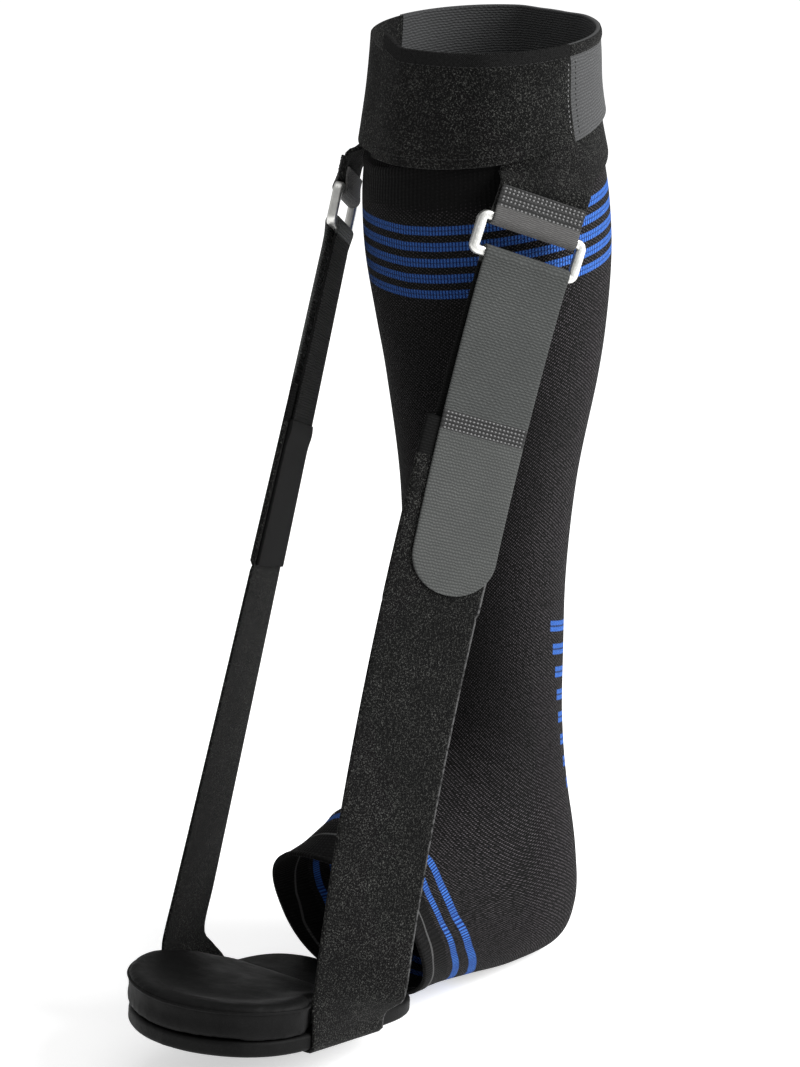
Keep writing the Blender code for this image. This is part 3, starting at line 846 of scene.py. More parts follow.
def grey(level: float, warmth: float = 0.0) -> Colour:
    """A near-grey colour, warmer or cooler by a small share."""
    return (level * (1 + warmth), level, level * (1 - warmth), 1.0)


@dataclass(frozen=True)
class Finish:
    """A material's name and the effects that it may use."""

    name: str
    effects: Effects

    def start(self, roughness: float, specular: float, sheen: float = 0.0) -> tuple[Material, Wiring, Node]:
        """Make the material.

        Args:
            roughness: The shader's roughness.
            specular: Strength of its highlights.
            sheen: Strength of the soft glow of fibres.

        Returns:
            The material, its wiring and its shader.
        """
        made = bpy.data.materials.new(self.name)
        made.use_nodes = True
        shader = made.node_tree.nodes["Principled BSDF"]
        shader.inputs["Roughness"].default_value = roughness
        shader.inputs["Specular IOR Level"].default_value = specular
        shader.inputs["Sheen Weight"].default_value = sheen
        shader.inputs["Sheen Roughness"].default_value = 0.5
        return made, Wiring(made.node_tree), shader


@dataclass(frozen=True)
class KnitFinish(Finish):
    """Black knit with blue rings at the calf, lines round the instep and bars up the heel cord."""

    ground: Colour = grey(0.0036, 0.02)
    # Painted highlight colour for the loop tops.
    crown_highlight: Colour = (0.094, 0.084, 0.091, 1.0)
    grey_line: Colour = grey(0.085)
    blue: Colour = (0.050, 0.165, 0.540, 1.0)
    # Painted shade of the same blue yarn, for the gaps between the lit dashes.
    shaded_blue: Colour = (0.010, 0.026, 0.150, 1.0)
    ring_first: float = 0.3810
    ring_pitch: float = 0.0077
    ring_width: float = 0.0041
    bar_first: float = 0.1818
    bar_pitch: float = 0.0118
    bar_width: float = 0.0054
    bar_start: float = 1.68
    bar_step: float = 0.073
    line_width: float = 0.0024
    line_apart: float = 0.0058
    seam_apart: float = 0.0152

    def build(self) -> Material:
        """Make the material.

        Returns:
            The material.
        """
        made, wire, shader = self.start(0.9, 0.06, 0.02)
        cloth, course = wire.uv(), wire.uv("course")
        parts = wire.add("ShaderNodeSeparateXYZ", {0: course})
        around, height = parts.outputs[0], parts.outputs[1]
        toe = wire.less(wire.step(height, -0.0100, -0.0085))
        ribbed = wire.math("MAXIMUM", wire.step(height, 0.388, 0.394), toe)
        loops = wire.group(self.effects.knit, cloth, rib=ribbed)
        tone = wire.group(self.effects.wear, wire.place(), size=0.05)
        stripes = self.stripes(wire, around, height)
        # Painted highlight: the loop tops take the lighter crown colour.
        base = wire.mix(loops.outputs["Crown_highlight"], self.ground, self.crown_highlight)
        dim = wire.mix(tone.outputs["Tone"], base, wire.mix(0.4, base, grey(0.004)))
        seam = wire.times(wire.band(height, -self.seam_apart, 0.0008, 0.0002), 0.8)
        dim = wire.mix(seam, dim, self.grey_line)
        # Painted highlight and shade: dashes round the leg take the lit blue, the gaps between them the
        # shaded navy of the same yarn.
        lit_dashes = wire.step(wire.wave(around, 0.0275), 0.05, 0.75)
        blue = wire.mix(lit_dashes, self.shaded_blue, self.blue)
        # Painted shade: above the lowest courses, the front of the leg is mixed six tenths of the way to
        # near-black, as if no light reached it.
        front_shade = wire.less(wire.step(wire.math("ABSOLUTE", around), 0.60, 1.55))
        front_shade = wire.times(front_shade, wire.step(height, 0.08, 0.16))
        dyed = wire.mix(stripes, dim, blue)
        wire.feed(shader.inputs["Base Color"], wire.mix(wire.times(front_shade, 0.6), dyed, grey(0.0012)))
        wire.bump(shader, loops.outputs["Height"], 0.0005)
        return made

    def stripes(self, wire: Wiring, around: object, height: object) -> Socket:
        """Where the yarn is blue.

        Args:
            wire: The material's wiring.
            around: Bearing in radians.
            height: Course height in metres; below 0 on the foot, a hundredth for each level.

        Returns:
            1 on the blue yarn.
        """
        away, _ = self.ladder(wire, height, self.ring_first, self.ring_pitch, 5)
        rings = self.within(wire, away, self.ring_width)
        rings = wire.times(rings, wire.linear(wire.band(away, 0.0, 0.0007, 0.0003), -0.5, 1.0))
        away, number = self.ladder(wire, height, self.bar_first, self.bar_pitch, 8)
        limit = wire.linear(number, self.bar_step, self.bar_start)
        at_back = wire.step(wire.math("SUBTRACT", wire.math("ABSOLUTE", around), limit), -0.008, 0.008)
        bars = wire.times(self.within(wire, away, self.bar_width), at_back)
        bars = wire.times(bars, wire.linear(wire.band(away, 0.0, 0.0009, 0.0003), -0.75, 1.0))
        thread = wire.step(wire.wave(around, 0.030), 0.08, 0.40)
        lines = wire.math("MAXIMUM", wire.band(height, 0.0, self.line_width, 0.0002),
                          wire.band(height, -self.line_apart, self.line_width, 0.0002))
        lines = wire.times(lines, wire.linear(thread, 0.45, 0.55))
        return wire.math("MAXIMUM", wire.math("MAXIMUM", rings, bars), lines)

    def ladder(self, wire: Wiring, height: object, first: float, pitch: float,
               count: int) -> tuple[Socket, Socket]:
        """Equal bands one below the other.

        Args:
            wire: The material's wiring.
            height: Course height.
            first: Middle of the top band.
            pitch: From one band to the next.
            count: How many bands there are.

        Returns:
            Distance from the nearest band's middle, and that band's number.
        """
        below = wire.math("DIVIDE", wire.math("SUBTRACT", first, height), pitch)
        nearest = wire.math("MINIMUM", wire.math("MAXIMUM", wire.math("ROUND", below), 0.0), float(count - 1))
        away = wire.times(wire.math("ABSOLUTE", wire.math("SUBTRACT", below, nearest)), pitch)
        return away, nearest

    def within(self, wire: Wiring, away: object, width: float) -> Socket:
        """1 closer to a band's middle than half its width."""
        return wire.less(wire.step(away, width / 2 - 0.0003, width / 2 + 0.0003))


@dataclass(frozen=True)
class PlushFinish(Finish):
    """Black loop plush with pale flecks of painted highlight, and a thin painted highlight along the back
    edge of a strap.
    """

    ground: Colour = grey(0.0026)
    fleck_highlight: Colour = (0.084, 0.085, 0.079, 1.0)
    # Across distance of the painted highlight along the strap's back edge; 0 for none.
    edge: float = 0.0

    def build(self) -> Material:
        """Make the material.

        Returns:
            The material.
        """
        made, wire, shader = self.start(0.95, 0.06, 0.04)
        nap = wire.group(self.effects.nap, wire.place())
        tone = wire.group(self.effects.wear, wire.place(), size=0.02)
        # Painted highlight: the flecks, dimmer where the random tone is low, take the pale colour.
        flecks = wire.times(nap.outputs["Fleck_highlight"], wire.linear(tone.outputs["Tone"], 0.5, 0.5))
        colour = wire.mix(flecks, self.ground, self.fleck_highlight)
        if self.edge:
            # Painted highlight: a thin, broken pale line along the back edge.
            parts = wire.add("ShaderNodeSeparateXYZ", {0: wire.uv()})
            rim = wire.step(parts.outputs[0], self.edge - 0.0008, self.edge - 0.0001)
            edge_highlight = wire.times(rim, wire.step(wire.noise(wire.place(), 420.0, 2.0), 0.30, 0.62))
            colour = wire.mix(edge_highlight, colour, grey(0.085))
        wire.feed(shader.inputs["Base Color"], colour)
        wire.bump(shader, nap.outputs["Height"], 0.0008)
        return made


@dataclass(frozen=True)
class BackingFinish(Finish):
    """The plain knitted back of the plush, also used for bindings."""

    ground: Colour = grey(0.0045)
    # Painted highlight colour for the loop tops.
    crown_highlight: Colour = grey(0.024)

    def build(self) -> Material:
        """Make the material.

        Returns:
            The material.
        """
        made, wire, shader = self.start(0.85, 0.08)
        loops = wire.group(self.effects.knit, wire.uv(), wale=0.0009, course=0.0009)
        # Painted highlight: the loop tops take the lighter crown colour.
        wire.feed(shader.inputs["Base Color"], wire.mix(loops.outputs["Crown_highlight"], self.ground, self.crown_highlight))
        wire.bump(shader, loops.outputs["Height"], 0.00025)
        return made


@dataclass(frozen=True)
class WebbingFinish(Finish):
    """Grey woven webbing or elastic."""

    ground: Colour = (0.063, 0.066, 0.064, 1.0)
    # Painted shade colour for the weave's grooves, also a darker tone for random blotches.
    groove: Colour = (0.027, 0.029, 0.028, 1.0)
    rib: float = 0.0013
    float_length: float = 0.0026
    depth: float = 0.0004
    specular: float = 0.2

    def build(self) -> Material:
        """Make the material.

        Returns:
            The material.
        """
        made, wire, shader = self.start(0.8, self.specular, self.specular / 4)
        weave = wire.group(self.effects.weave, wire.uv(), rib=self.rib, float=self.float_length)
        tone = wire.group(self.effects.wear, wire.place(), size=0.02)
        body = wire.mix(tone.outputs["Tone"], self.ground, wire.mix(0.25, self.ground, self.groove))
        # Painted shade: the grooves take the darker groove colour.
        wire.feed(shader.inputs["Base Color"], wire.mix(weave.outputs["Groove_shade"], body, self.groove))
        wire.bump(shader, weave.outputs["Height"], self.depth)
        return made


@dataclass(frozen=True)
class FoamCoverFinish(Finish):
    """Charcoal cover cloth drawn smooth over foam."""

    ground: Colour = grey(0.0022)
    worn: Colour = grey(0.0042)

    def build(self) -> Material:
        """Make the material.

        Returns:
            The material.
        """
        made, wire, shader = self.start(0.65, 0.10)
        place = wire.place()
        tone = wire.group(self.effects.wear, place, size=0.025)
        grain = wire.noise(place, 2600.0, 2.0)
        pucker = wire.noise(place, 120.0, 3.0, 0.5)
        colour = wire.mix(tone.outputs["Tone"], self.ground, self.worn)
        wire.feed(shader.inputs["Base Color"], wire.mix(wire.step(grain, 0.55, 0.8), colour, grey(0.012)))
        wire.feed(shader.inputs["Roughness"], wire.linear(pucker, 0.2, 0.48))
        wire.bump(shader, wire.linear(grain, 0.3, pucker), 0.0004)
        return made


@dataclass(frozen=True)
class RingFinish(Finish):
    """Pale satin metal with faint handling marks."""

    coat: Colour = (0.74, 0.74, 0.71, 1.0)
    worn: Colour = (0.58, 0.58, 0.56, 1.0)

    def build(self) -> Material:
        """Make the material.

        Returns:
            The material.
        """
        made, wire, shader = self.start(0.42, 0.4)
        place = wire.place()
        tone = wire.group(self.effects.wear, place, size=0.006)
        scuffs = wire.step(wire.noise(place, 900.0, 4.0, 0.7), 0.55, 0.75)
        wire.feed(shader.inputs["Base Color"], wire.mix(tone.outputs["Tone"], self.coat, self.worn))
        wire.feed(shader.inputs["Roughness"], wire.linear(scuffs, 0.2, 0.35))
        wire.bump(shader, scuffs, 0.00003)
        shader.inputs["Metallic"].default_value = 0.9
        return made


@dataclass(frozen=True)
class ThreadFinish(Finish):
    """Sewing thread."""

    colour: Colour = grey(0.30)

    def build(self) -> Material:
        """Make the material.

        Returns:
            The material.
        """
        made, wire, shader = self.start(0.7, 0.2)
        twist = wire.noise(wire.place(), 3000.0, 1.0)
        dark = tuple(channel * 0.6 for channel in self.colour[:3]) + (1.0,)
        wire.feed(shader.inputs["Base Color"], wire.mix(twist, dark, self.colour))
        wire.bump(shader, twist, 0.0001)
        return made


class Seam(NamedTuple):
    """A row of stitches: from one to the next, a stitch's length and the thread's thickness."""

    spacing: float
    length: float
    thickness: float


HEM_SEAM = Seam(0.0026, 0.0019, 0.0005)
FRONT_SIDE_SEAM = Seam(0.0023, 0.0012, 0.0006)
BACK_SIDE_SEAM = Seam(0.0023, 0.0011, 0.0005)
BOX_SEAM = Seam(0.0020, 0.0012, 0.0010)
BAND_SEAM = Seam(0.0019, 0.0012, 0.0009)
STITCH_LIFT = 0.0001


@dataclass(frozen=True)
class StitchTree:
    """A Geometry Nodes tree that sews rounded stitches along drawn lines."""

    tree: Tree

    @staticmethod
    def make() -> "StitchTree":
        """Build the tree: lines in, stitches out.

        Returns:
            The tree, ready to sew.
        """
        tree = bpy.data.node_groups.new("stitch rows", "GeometryNodeTree")
        tree.interface.new_socket(name="Geometry", in_out="INPUT", socket_type="NodeSocketGeometry")
        for title in ("Spacing", "Length", "Thickness"):
            tree.interface.new_socket(name=title, in_out="INPUT", socket_type="NodeSocketFloat")
        tree.interface.new_socket(name="Thread", in_out="INPUT", socket_type="NodeSocketMaterial")
        tree.interface.new_socket(name="Geometry", in_out="OUTPUT", socket_type="NodeSocketGeometry")
        wire = Wiring(tree)
        taken, given = wire.add("NodeGroupInput"), wire.add("NodeGroupOutput")
        curve = wire.add("GeometryNodeMeshToCurve", {0: taken.outputs["Geometry"]})
        spaced = {"Curve": curve.outputs[0], "Length": taken.outputs["Spacing"]}
        even = wire.add("GeometryNodeResampleCurve", spaced, mode="LENGTH")
        ball = wire.add("GeometryNodeMeshUVSphere", {"Segments": 6, "Rings": 4, "Radius": 0.5})
        turn = wire.add("FunctionNodeAlignRotationToVector",
                        {"Vector": wire.add("GeometryNodeInputTangent").outputs[0]}, axis="Z")
        size = wire.add("ShaderNodeCombineXYZ", {0: taken.outputs["Thickness"], 1: taken.outputs["Thickness"],
                                                 2: taken.outputs["Length"]})
        parts = {"Points": even, "Instance": ball, "Rotation": turn, "Scale": size}
        given_parts = {title: part.outputs[0] for title, part in parts.items()}
        sewn = wire.add("GeometryNodeInstanceOnPoints", given_parts)
        real = wire.add("GeometryNodeRealizeInstances", {0: sewn.outputs[0]})
        soft = wire.add("GeometryNodeSetShadeSmooth", {0: real.outputs[0]})
        thread = {"Geometry": soft.outputs[0], "Material": taken.outputs["Thread"]}
        dyed = wire.add("GeometryNodeSetMaterial", thread)
        wire.feed(given.inputs[0], dyed.outputs[0])
        return StitchTree(tree)

    def sew(self, name: str, lines: list[Array], seam: Seam, thread: Material) -> Piece:
        """Sew stitches along lines.

        Args:
            name: The piece's name.
            lines: Points along each row of stitches.
            seam: The sizes of the stitches.
            thread: The thread's material.

        Returns:
            The stitches as one plain mesh.
        """
        mesh = bpy.data.meshes.new(name + "_lines")
        edges, total = [], 0
        for line in lines:
            edges += [(total + step, total + step + 1) for step in range(len(line) - 1)]
            total += len(line)
        mesh.from_pydata(np.concatenate(lines).tolist(), edges, [])
        piece = bpy.data.objects.new(name, mesh)
        bpy.context.scene.collection.objects.link(piece)
        sewing = piece.modifiers.new("stitches", "NODES")
        sewing.node_group = self.tree
        values = {"Spacing": seam.spacing, "Length": seam.length, "Thickness": seam.thickness,
                  "Thread": thread}
        for item in self.tree.interface.items_tree:
            if item.item_type == "SOCKET" and item.in_out == "INPUT" and item.name in values:
                sewing[item.identifier] = values[item.name]
        return plain_mesh(piece)


def plain_mesh(piece: Piece) -> Piece:
    """Turn an object with modifiers into its plain result.

    Args:
        piece: The object.

    Returns:
        The same object.
    """
    bpy.context.view_layer.update()
    depsgraph = bpy.context.evaluated_depsgraph_get()
    result = bpy.data.meshes.new_from_object(piece.evaluated_get(depsgraph), preserve_all_data_layers=True,
                                             depsgraph=depsgraph)
    piece.modifiers.clear()
    piece.data = result
    return piece


@dataclass(frozen=True)
class Workshop:
    """The finishes and the stitching that every class takes from."""

    knit: Material
    plush: Material
    strap_plush: Material
    backing: Material
    lining: Material
    elastic_in_painted_shade: Material
    tongue: Material
    hook: Material
    roll: Material
    seam_band: Material
    elastic: Material
    foam: Material
    ring: Material
    pale_thread: Material
    dark_thread: Material
    stitches: StitchTree

    @staticmethod
    def open() -> "Workshop":
        """Make every finish.

        Returns:
            The workshop.
        """
        effects = make_effects()
        return Workshop(
            knit=KnitFinish("striped_knit", effects).build(),
            plush=PlushFinish("cuff_plush", effects).build(),
            # The strap's plush has a painted highlight along its back edge.
            strap_plush=PlushFinish("strap_plush", effects, edge=0.02425).build(),
            backing=BackingFinish("plush_backing", effects).build(),
            lining=BackingFinish("strap_lining", effects, ground=grey(0.020), crown_highlight=grey(0.058)).build(),
            # Painted shade: the same elastic made far darker, for the runs that lie behind or under other
            # parts.
            elastic_in_painted_shade=WebbingFinish("elastic_in_painted_shade", effects, ground=grey(0.009), groove=grey(0.004),
                                       rib=0.0013, float_length=0.0024, depth=0.0003, specular=0.03).build(),
            tongue=WebbingFinish("tongue_webbing", effects).build(),
            hook=WebbingFinish("hook_webbing", effects, ground=(0.073, 0.076, 0.073, 1.0),
                               groove=(0.033, 0.035, 0.034, 1.0), rib=0.0014, float_length=0.0016,
                               depth=0.0003).build(),
            roll=WebbingFinish("roll_webbing", effects, ground=grey(0.090, 0.02), groove=grey(0.045, 0.02),
                               rib=0.0009, float_length=0.0060, depth=0.00025).build(),
            seam_band=WebbingFinish("seam_band", effects, ground=grey(0.035), groove=grey(0.010),
                                    rib=0.0019, float_length=0.0020, depth=0.0003).build(),
            elastic=WebbingFinish("ribbed_elastic", effects, ground=grey(0.063, -0.02),
                                  groove=grey(0.031, -0.02), rib=0.0013, float_length=0.0024,
                                  depth=0.0003).build(),
            foam=FoamCoverFinish("foam_cover", effects).build(),
            ring=RingFinish("coated_wire", effects).build(),
            pale_thread=ThreadFinish("pale_thread", effects, colour=grey(0.22)).build(),
            dark_thread=ThreadFinish("dark_thread", effects, colour=grey(0.02)).build(),
            stitches=StitchTree.make(),
        )

    def sew(self, name: str, lines: list[Array], seam: Seam, thread: Material, slot: str) -> None:
        """Sew rows of stitches and attach them to the body."""
        dress(self.stitches.sew(name, lines, seam, thread), (), slot)


def dress(piece: Piece, nodes: tuple[str, ...], slot: str, *materials: Material) -> Piece:
    """Give a piece its materials and its body, and hide the CAD nodes that it replaces.

    Args:
        piece: The finished mesh.
        nodes: CAD nodes that it replaces, if any.
        slot: A material slot's name; not used.
        *materials: Materials in slot order.

    Returns:
        The same piece.
    """
    if materials:
        piece.data.materials.clear()
        for finish in materials:
            piece.data.materials.append(finish)
    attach(piece, "root")
    if nodes:
        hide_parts(*nodes)
    LOG.info("%s: %d faces", piece.name, len(piece.data.polygons))
    return piece


def declare_cloth(face: Grid,
                  closed: bool = False) -> None:
    """Work out a sheet's flat size from its own face, without keeping it.

    Args:
        face: Its middle surface.
        closed: Whether it is a tube.
    """
    grid = np.concatenate([face, face[:, :1]], axis=1) if closed else face
    across, along = arc_lengths(grid, 1)[:, -1], arc_lengths(grid, 0)[-1]


@dataclass(frozen=True)
class Maker:
    """A maker of pieces, with the workshop that it takes from."""

    shop: Workshop


@dataclass(frozen=True)
class Sleeve(Maker):
    """The knitted tube from under the cuff to the middle of the foot."""

    around: int = 144
    pitch: float = 0.0022
    hem_width: float = 0.006
    hem_rise: float = 0.0004
    hem_ease: float = 0.0006
    groove: float = 0.0003
    heel_relief: float = 0.0003
    crease_depth: float = 0.0007
    joint: float = 5.0
    upper_rows: int = 26
    fine_rows: int = 900
    level_height: float = 0.01
    wale: float = 0.0020
    wales: int = 160
    bar_tilt: float = 0.011
    bar_zone: tuple[float, float] = (0.20, 0.27)
    ring_zone: tuple[float, float] = (0.24, 0.33)
    foot_zone: tuple[float, float] = (14.0, 15.0)
    ring_tilt: tuple[Bearing, ...] = tuple(Bearing(*row) for row in (
        (-180, 0.0310), (-130, 0.0215), (-90, 0.0085), (-45, 0.0), (0, 0.0), (15, 0.0026), (30, 0.0064),
        (60, 0.0139), (90, 0.0205), (130, 0.0285), (180, 0.0310)))
    instep_line: tuple[Bearing, ...] = tuple(Bearing(*row) for row in (
        (0, 16.05), (16, 16.20), (27, 16.40), (40, 16.62), (56, 16.88), (69, 17.28), (88, 17.72),
        (106, 18.00), (130, 18.12), (180, 18.15)))

    def levels(self, angles: Array) -> Grid:
        """A level for each point of the grid: the top rows follow the hem, the rest are sections.

        Args:
            angles: The bearing of each column.

        Returns:
            The levels.
        """
        hem = LIMB.level_at(CUFF.sleeve_top(angles))
        upper = hem[None, :] + (self.joint - hem[None, :]) * np.linspace(0, 1, self.upper_rows)[:-1, None]
        fine = np.linspace(self.joint, LIMB.last_level, self.fine_rows)
        spine = LIMB.surface(fine[:, None], np.radians([0.0, 90.0, 180.0, 270.0])[None, :])
        travel = arc_lengths(spine, 0).mean(axis=1)
        count = int(travel[-1] / self.pitch)
        lower = np.interp(np.linspace(0, travel[-1], count), travel, fine)
        return np.concatenate([upper, np.repeat(lower[:, None], len(angles), axis=1)])

    def course_map(self, levels: Grid, angles: Array, points: Grid) -> Grid:
        """Bearing and course height of each point, which the stripes follow.

        Args:
            levels: The level of each point.
            angles: The bearing of each column.
            points: The outside face.

        Returns:
            A pair for each point, with one more column than the tube.
        """
        levels = np.concatenate([levels, levels[:, :1]], axis=1)
        angles = np.append(angles, angles[0] + 2 * math.pi)
        turned = wrap(angles)
        turned[-1] = turned[0] + 2 * math.pi
        height = np.concatenate([points[..., 2], points[:, :1, 2]], axis=1)
        degrees = np.degrees(wrap(angles))
        tilt = np.interp(degrees, *zip(*self.ring_tilt)) * LIMB.leg_height
        leg = height - tilt[None, :] * ramp(height, *self.ring_zone)
        leg = leg - self.bar_tilt * np.cos(angles)[None, :] * (1 - ramp(height, *self.bar_zone))
        line = np.interp(np.abs(degrees), *zip(*self.instep_line))
        foot = (line[None, :] - levels) * self.level_height
        share = ramp(levels, *self.foot_zone)
        angle = np.broadcast_to(turned[None, :], levels.shape)
        return np.stack([angle, leg * (1 - share) + foot * share], axis=-1)

    def relief(self, levels: Grid, angles: Array, points: Grid) -> Grid:
        """How far the outside face stands above or below a plain wall.

        Args:
            levels: The level of each point.
            angles: The bearing of each column.
            points: The outside face before relief.

        Returns:
            A height for each point.
        """
        travel = arc_lengths(points, 0).mean(axis=1)[:, None]
        rest = travel[-1] - travel
        before, after = self.hem_width - self.hem_ease, self.hem_width + self.hem_ease
        hem = self.hem_rise * (1 - ramp(rest, before, after))
        hem = hem - self.groove * np.exp(-((rest - self.hem_width) / self.hem_ease) ** 2)
        top = self.hem_rise * (1 - ramp(travel, before, after))
        front = np.maximum(0.0, np.cos(angles))[None, :] ** 2
        bend = ramp(levels, 12.0, 13.5) * (1 - ramp(levels, 16.5, 17.6))
        creases = np.sin(levels * 5.4 + 0.9 * np.sin(angles * 2.0 + 0.7)[None, :]) * front * bend
        back = np.maximum(0.0, -np.cos(angles))[None, :] ** 2
        behind = back * ramp(levels, 9.0, 11.0) * (1 - ramp(levels, 13.0, 14.5))
        heel = np.sin(levels * 4.1 + angles[None, :]) * behind
        side = np.exp(-((np.abs(angles) - 1.0) / 0.42) ** 2)[None, :] * np.exp(-((levels - 12.0) / 1.1) ** 2)
        folds = np.sin(levels * 7.0 - np.abs(angles)[None, :] * 3.4) * side
        return hem + top + self.crease_depth * (creases + folds) + self.heel_relief * heel

    def build(self) -> None:
        """Make the sleeve."""
        angles = -math.pi + 2 * math.pi * np.arange(self.around) / self.around
        levels = self.levels(angles)
        inner = LIMB.points(levels, angles[None, :])
        plain = LIMB.points(levels, angles[None, :], SLEEVE_WALL)
        normals = grid_normals(plain, closed=True)
        outer = plain + normals * self.relief(levels, angles, plain)[..., None]
        maps = {"cloth": self.knit_map(outer), "course": self.course_map(levels, angles, outer)}
        piece = add_shell("knitted_sleeve", inner, outer, maps, closed=True)
        dress(piece, ("compression_sleeve",), "sleeve_knit", self.shop.knit)
        declare_cloth((inner + outer) / 2, closed=True)

    def knit_map(self, outer: Grid) -> Grid:
        """Wales that keep their number round the tube, and courses along it.

        Args:
            outer: The outside face.

        Returns:
            A pair for each point, with one more column than the tube.
        """
        grid = np.concatenate([outer, outer[:, :1]], axis=1)
        columns = np.linspace(-0.5, 0.5, grid.shape[1]) * self.wale * self.wales
        along = arc_lengths(grid, 0)
        return np.stack([np.broadcast_to(columns[None, :], along.shape), along], axis=-1)


@dataclass(frozen=True)
class Cuff(Maker):
    """The cuff's three panels, with the binding and the sewn lines on them."""

    pitch: float = 0.0018
    radius: float = 0.055
    height: float = 0.05
    binding: float = 0.0055
    pucker: float = 0.00025
    hem_groove: float = 0.00045
    groove_width: float = 0.0007
    rim: float = 0.3

    def panel(self, start: float, end: float, wall: float, lap: bool = False,
              drop: bool = False) -> tuple[Grid, Grid, Array, Array]:
        """The inside and outside faces of one panel.

        Args:
            start: Bearing of its first end.
            end: Bearing of its other end.
            wall: Its thickness.
            lap: Whether it lies over the closure and has the ear.
            drop: Whether its top corner slopes away.

        Returns:
            Inside face, outside face, distance below the top edge and bearings.
        """
        angles = np.linspace(start, end, max(12, int((end - start) * self.radius / self.pitch)))
        rise = np.zeros_like(angles)
        lift = np.zeros_like(angles)
        if lap:
            rise = CUFF.ear_rise * (1 - ramp(angles, CUFF.front_start, CUFF.front_start + CUFF.ear_span))
            lap_end = CUFF.closure_end + CUFF.lap_ease
            lift = (WEBBING_WALL + CLEARANCE) * (1 - ramp(angles, CUFF.closure_end, lap_end))
        if drop:
            rise = -CUFF.closure_drop * ramp(angles, CUFF.closure_drop_start, CUFF.closure_end)
        top, bottom = CUFF.top(angles) + rise, CUFF.bottom(angles)
        shares = np.linspace(0, 1, max(16, int(self.height / self.pitch)))[:, None]
        heights = top[None, :] + (bottom - top)[None, :] * shares
        offset = CUFF.offset(angles) + lift
        levels = LIMB.level_at(heights)
        spread = np.broadcast_to(angles[None, :], levels.shape)
        inner = LIMB.points(levels, spread, np.broadcast_to(offset, levels.shape))
        outer = LIMB.points(levels, spread, np.broadcast_to(offset + wall, levels.shape))
        return inner, outer, top[None, :] - heights, angles

    def front(self) -> None:
        """The plush front panel with its top hem."""
        gap = CLEARANCE / LIMB.calf_width
        inner, outer, below, angles = self.panel(CUFF.front_start, CUFF.seam - gap, CUFF_WALL, lap=True)
        normals = grid_normals(outer)
        hem = -self.hem_groove * np.exp(-((below - self.binding) / self.groove_width) ** 2)
        swell = self.pucker * np.sin(angles[None, :] * 9 + 1.3) * np.sin(below * 160)
        outer = outer + normals * (hem + swell)[..., None]
        piece = add_shell("plush_front", inner, outer, bulge=self.rim)
        dress(piece, ("cuff_front_panel",), "black_plush", self.shop.plush, self.shop.backing)
        repaint(piece, 1, 0.0, self.binding)
        declare_cloth((inner + outer) / 2)
        normals = grid_normals(outer)
        rows = np.argmin(np.abs(below[:, 0] - self.binding)), len(outer) - 3
        lifted = outer + normals * STITCH_LIFT
        lines = [lifted[row, 2:-2] for row in rows]
        self.shop.sew("front_hem_stitches", lines, HEM_SEAM, self.shop.dark_thread, "black_plush")
        side = [lifted[5:-3, -2]]
        self.shop.sew("front_side_stitches", side, FRONT_SIDE_SEAM, self.shop.pale_thread, "black_plush")

    def back(self) -> None:
        """The elastic back panel and its black binding."""
        gap = CLEARANCE / LIMB.calf_width
        end = CUFF.closure_start + 2 * math.pi - gap
        inner, outer, below, _ = self.panel(CUFF.seam + gap, end, ELASTIC_WALL)
        piece = add_shell("elastic_back", inner, outer, bulge=self.rim)
        dress(piece, ("cuff_back_panel",), "cuff_elastic", self.shop.elastic, self.shop.backing)
        normals = grid_normals(outer)
        last = int(np.argmin(np.abs(below[:, 0] - self.binding)))
        band_in = (outer + normals * 0.00005)[:last + 1]
        shape = np.sin(np.linspace(0.12, 0.88, last + 1) * math.pi)[:, None, None]
        band_out = band_in + normals[:last + 1] * 0.0007 * shape
        binding = add_shell("elastic_binding", band_in, band_out)
        dress(binding, (), "black_plush", self.shop.plush, self.shop.plush)
        declare_cloth((inner + outer) / 2)
        side = [outer[last + 2:-2, 2] + normals[last + 2:-2, 2] * STITCH_LIFT]
        self.shop.sew("back_side_stitches", side, BACK_SIDE_SEAM, self.shop.dark_thread, "cuff_elastic")

    def closure(self) -> None:
        """The overlap that the front panel closes on."""
        gap = CLEARANCE / LIMB.calf_width
        inner, outer, _, _ = self.panel(CUFF.closure_start + gap, CUFF.closure_end, WEBBING_WALL, drop=True)
        piece = add_shell("closure_overlap", inner, outer, bulge=self.rim)
        dress(piece, ("cuff_closure_tab",), "black_plush", self.shop.plush, self.shop.backing)
        declare_cloth((inner + outer) / 2)

    def build(self) -> None:
        """Make all three panels."""
        self.front()
        self.back()
        self.closure()


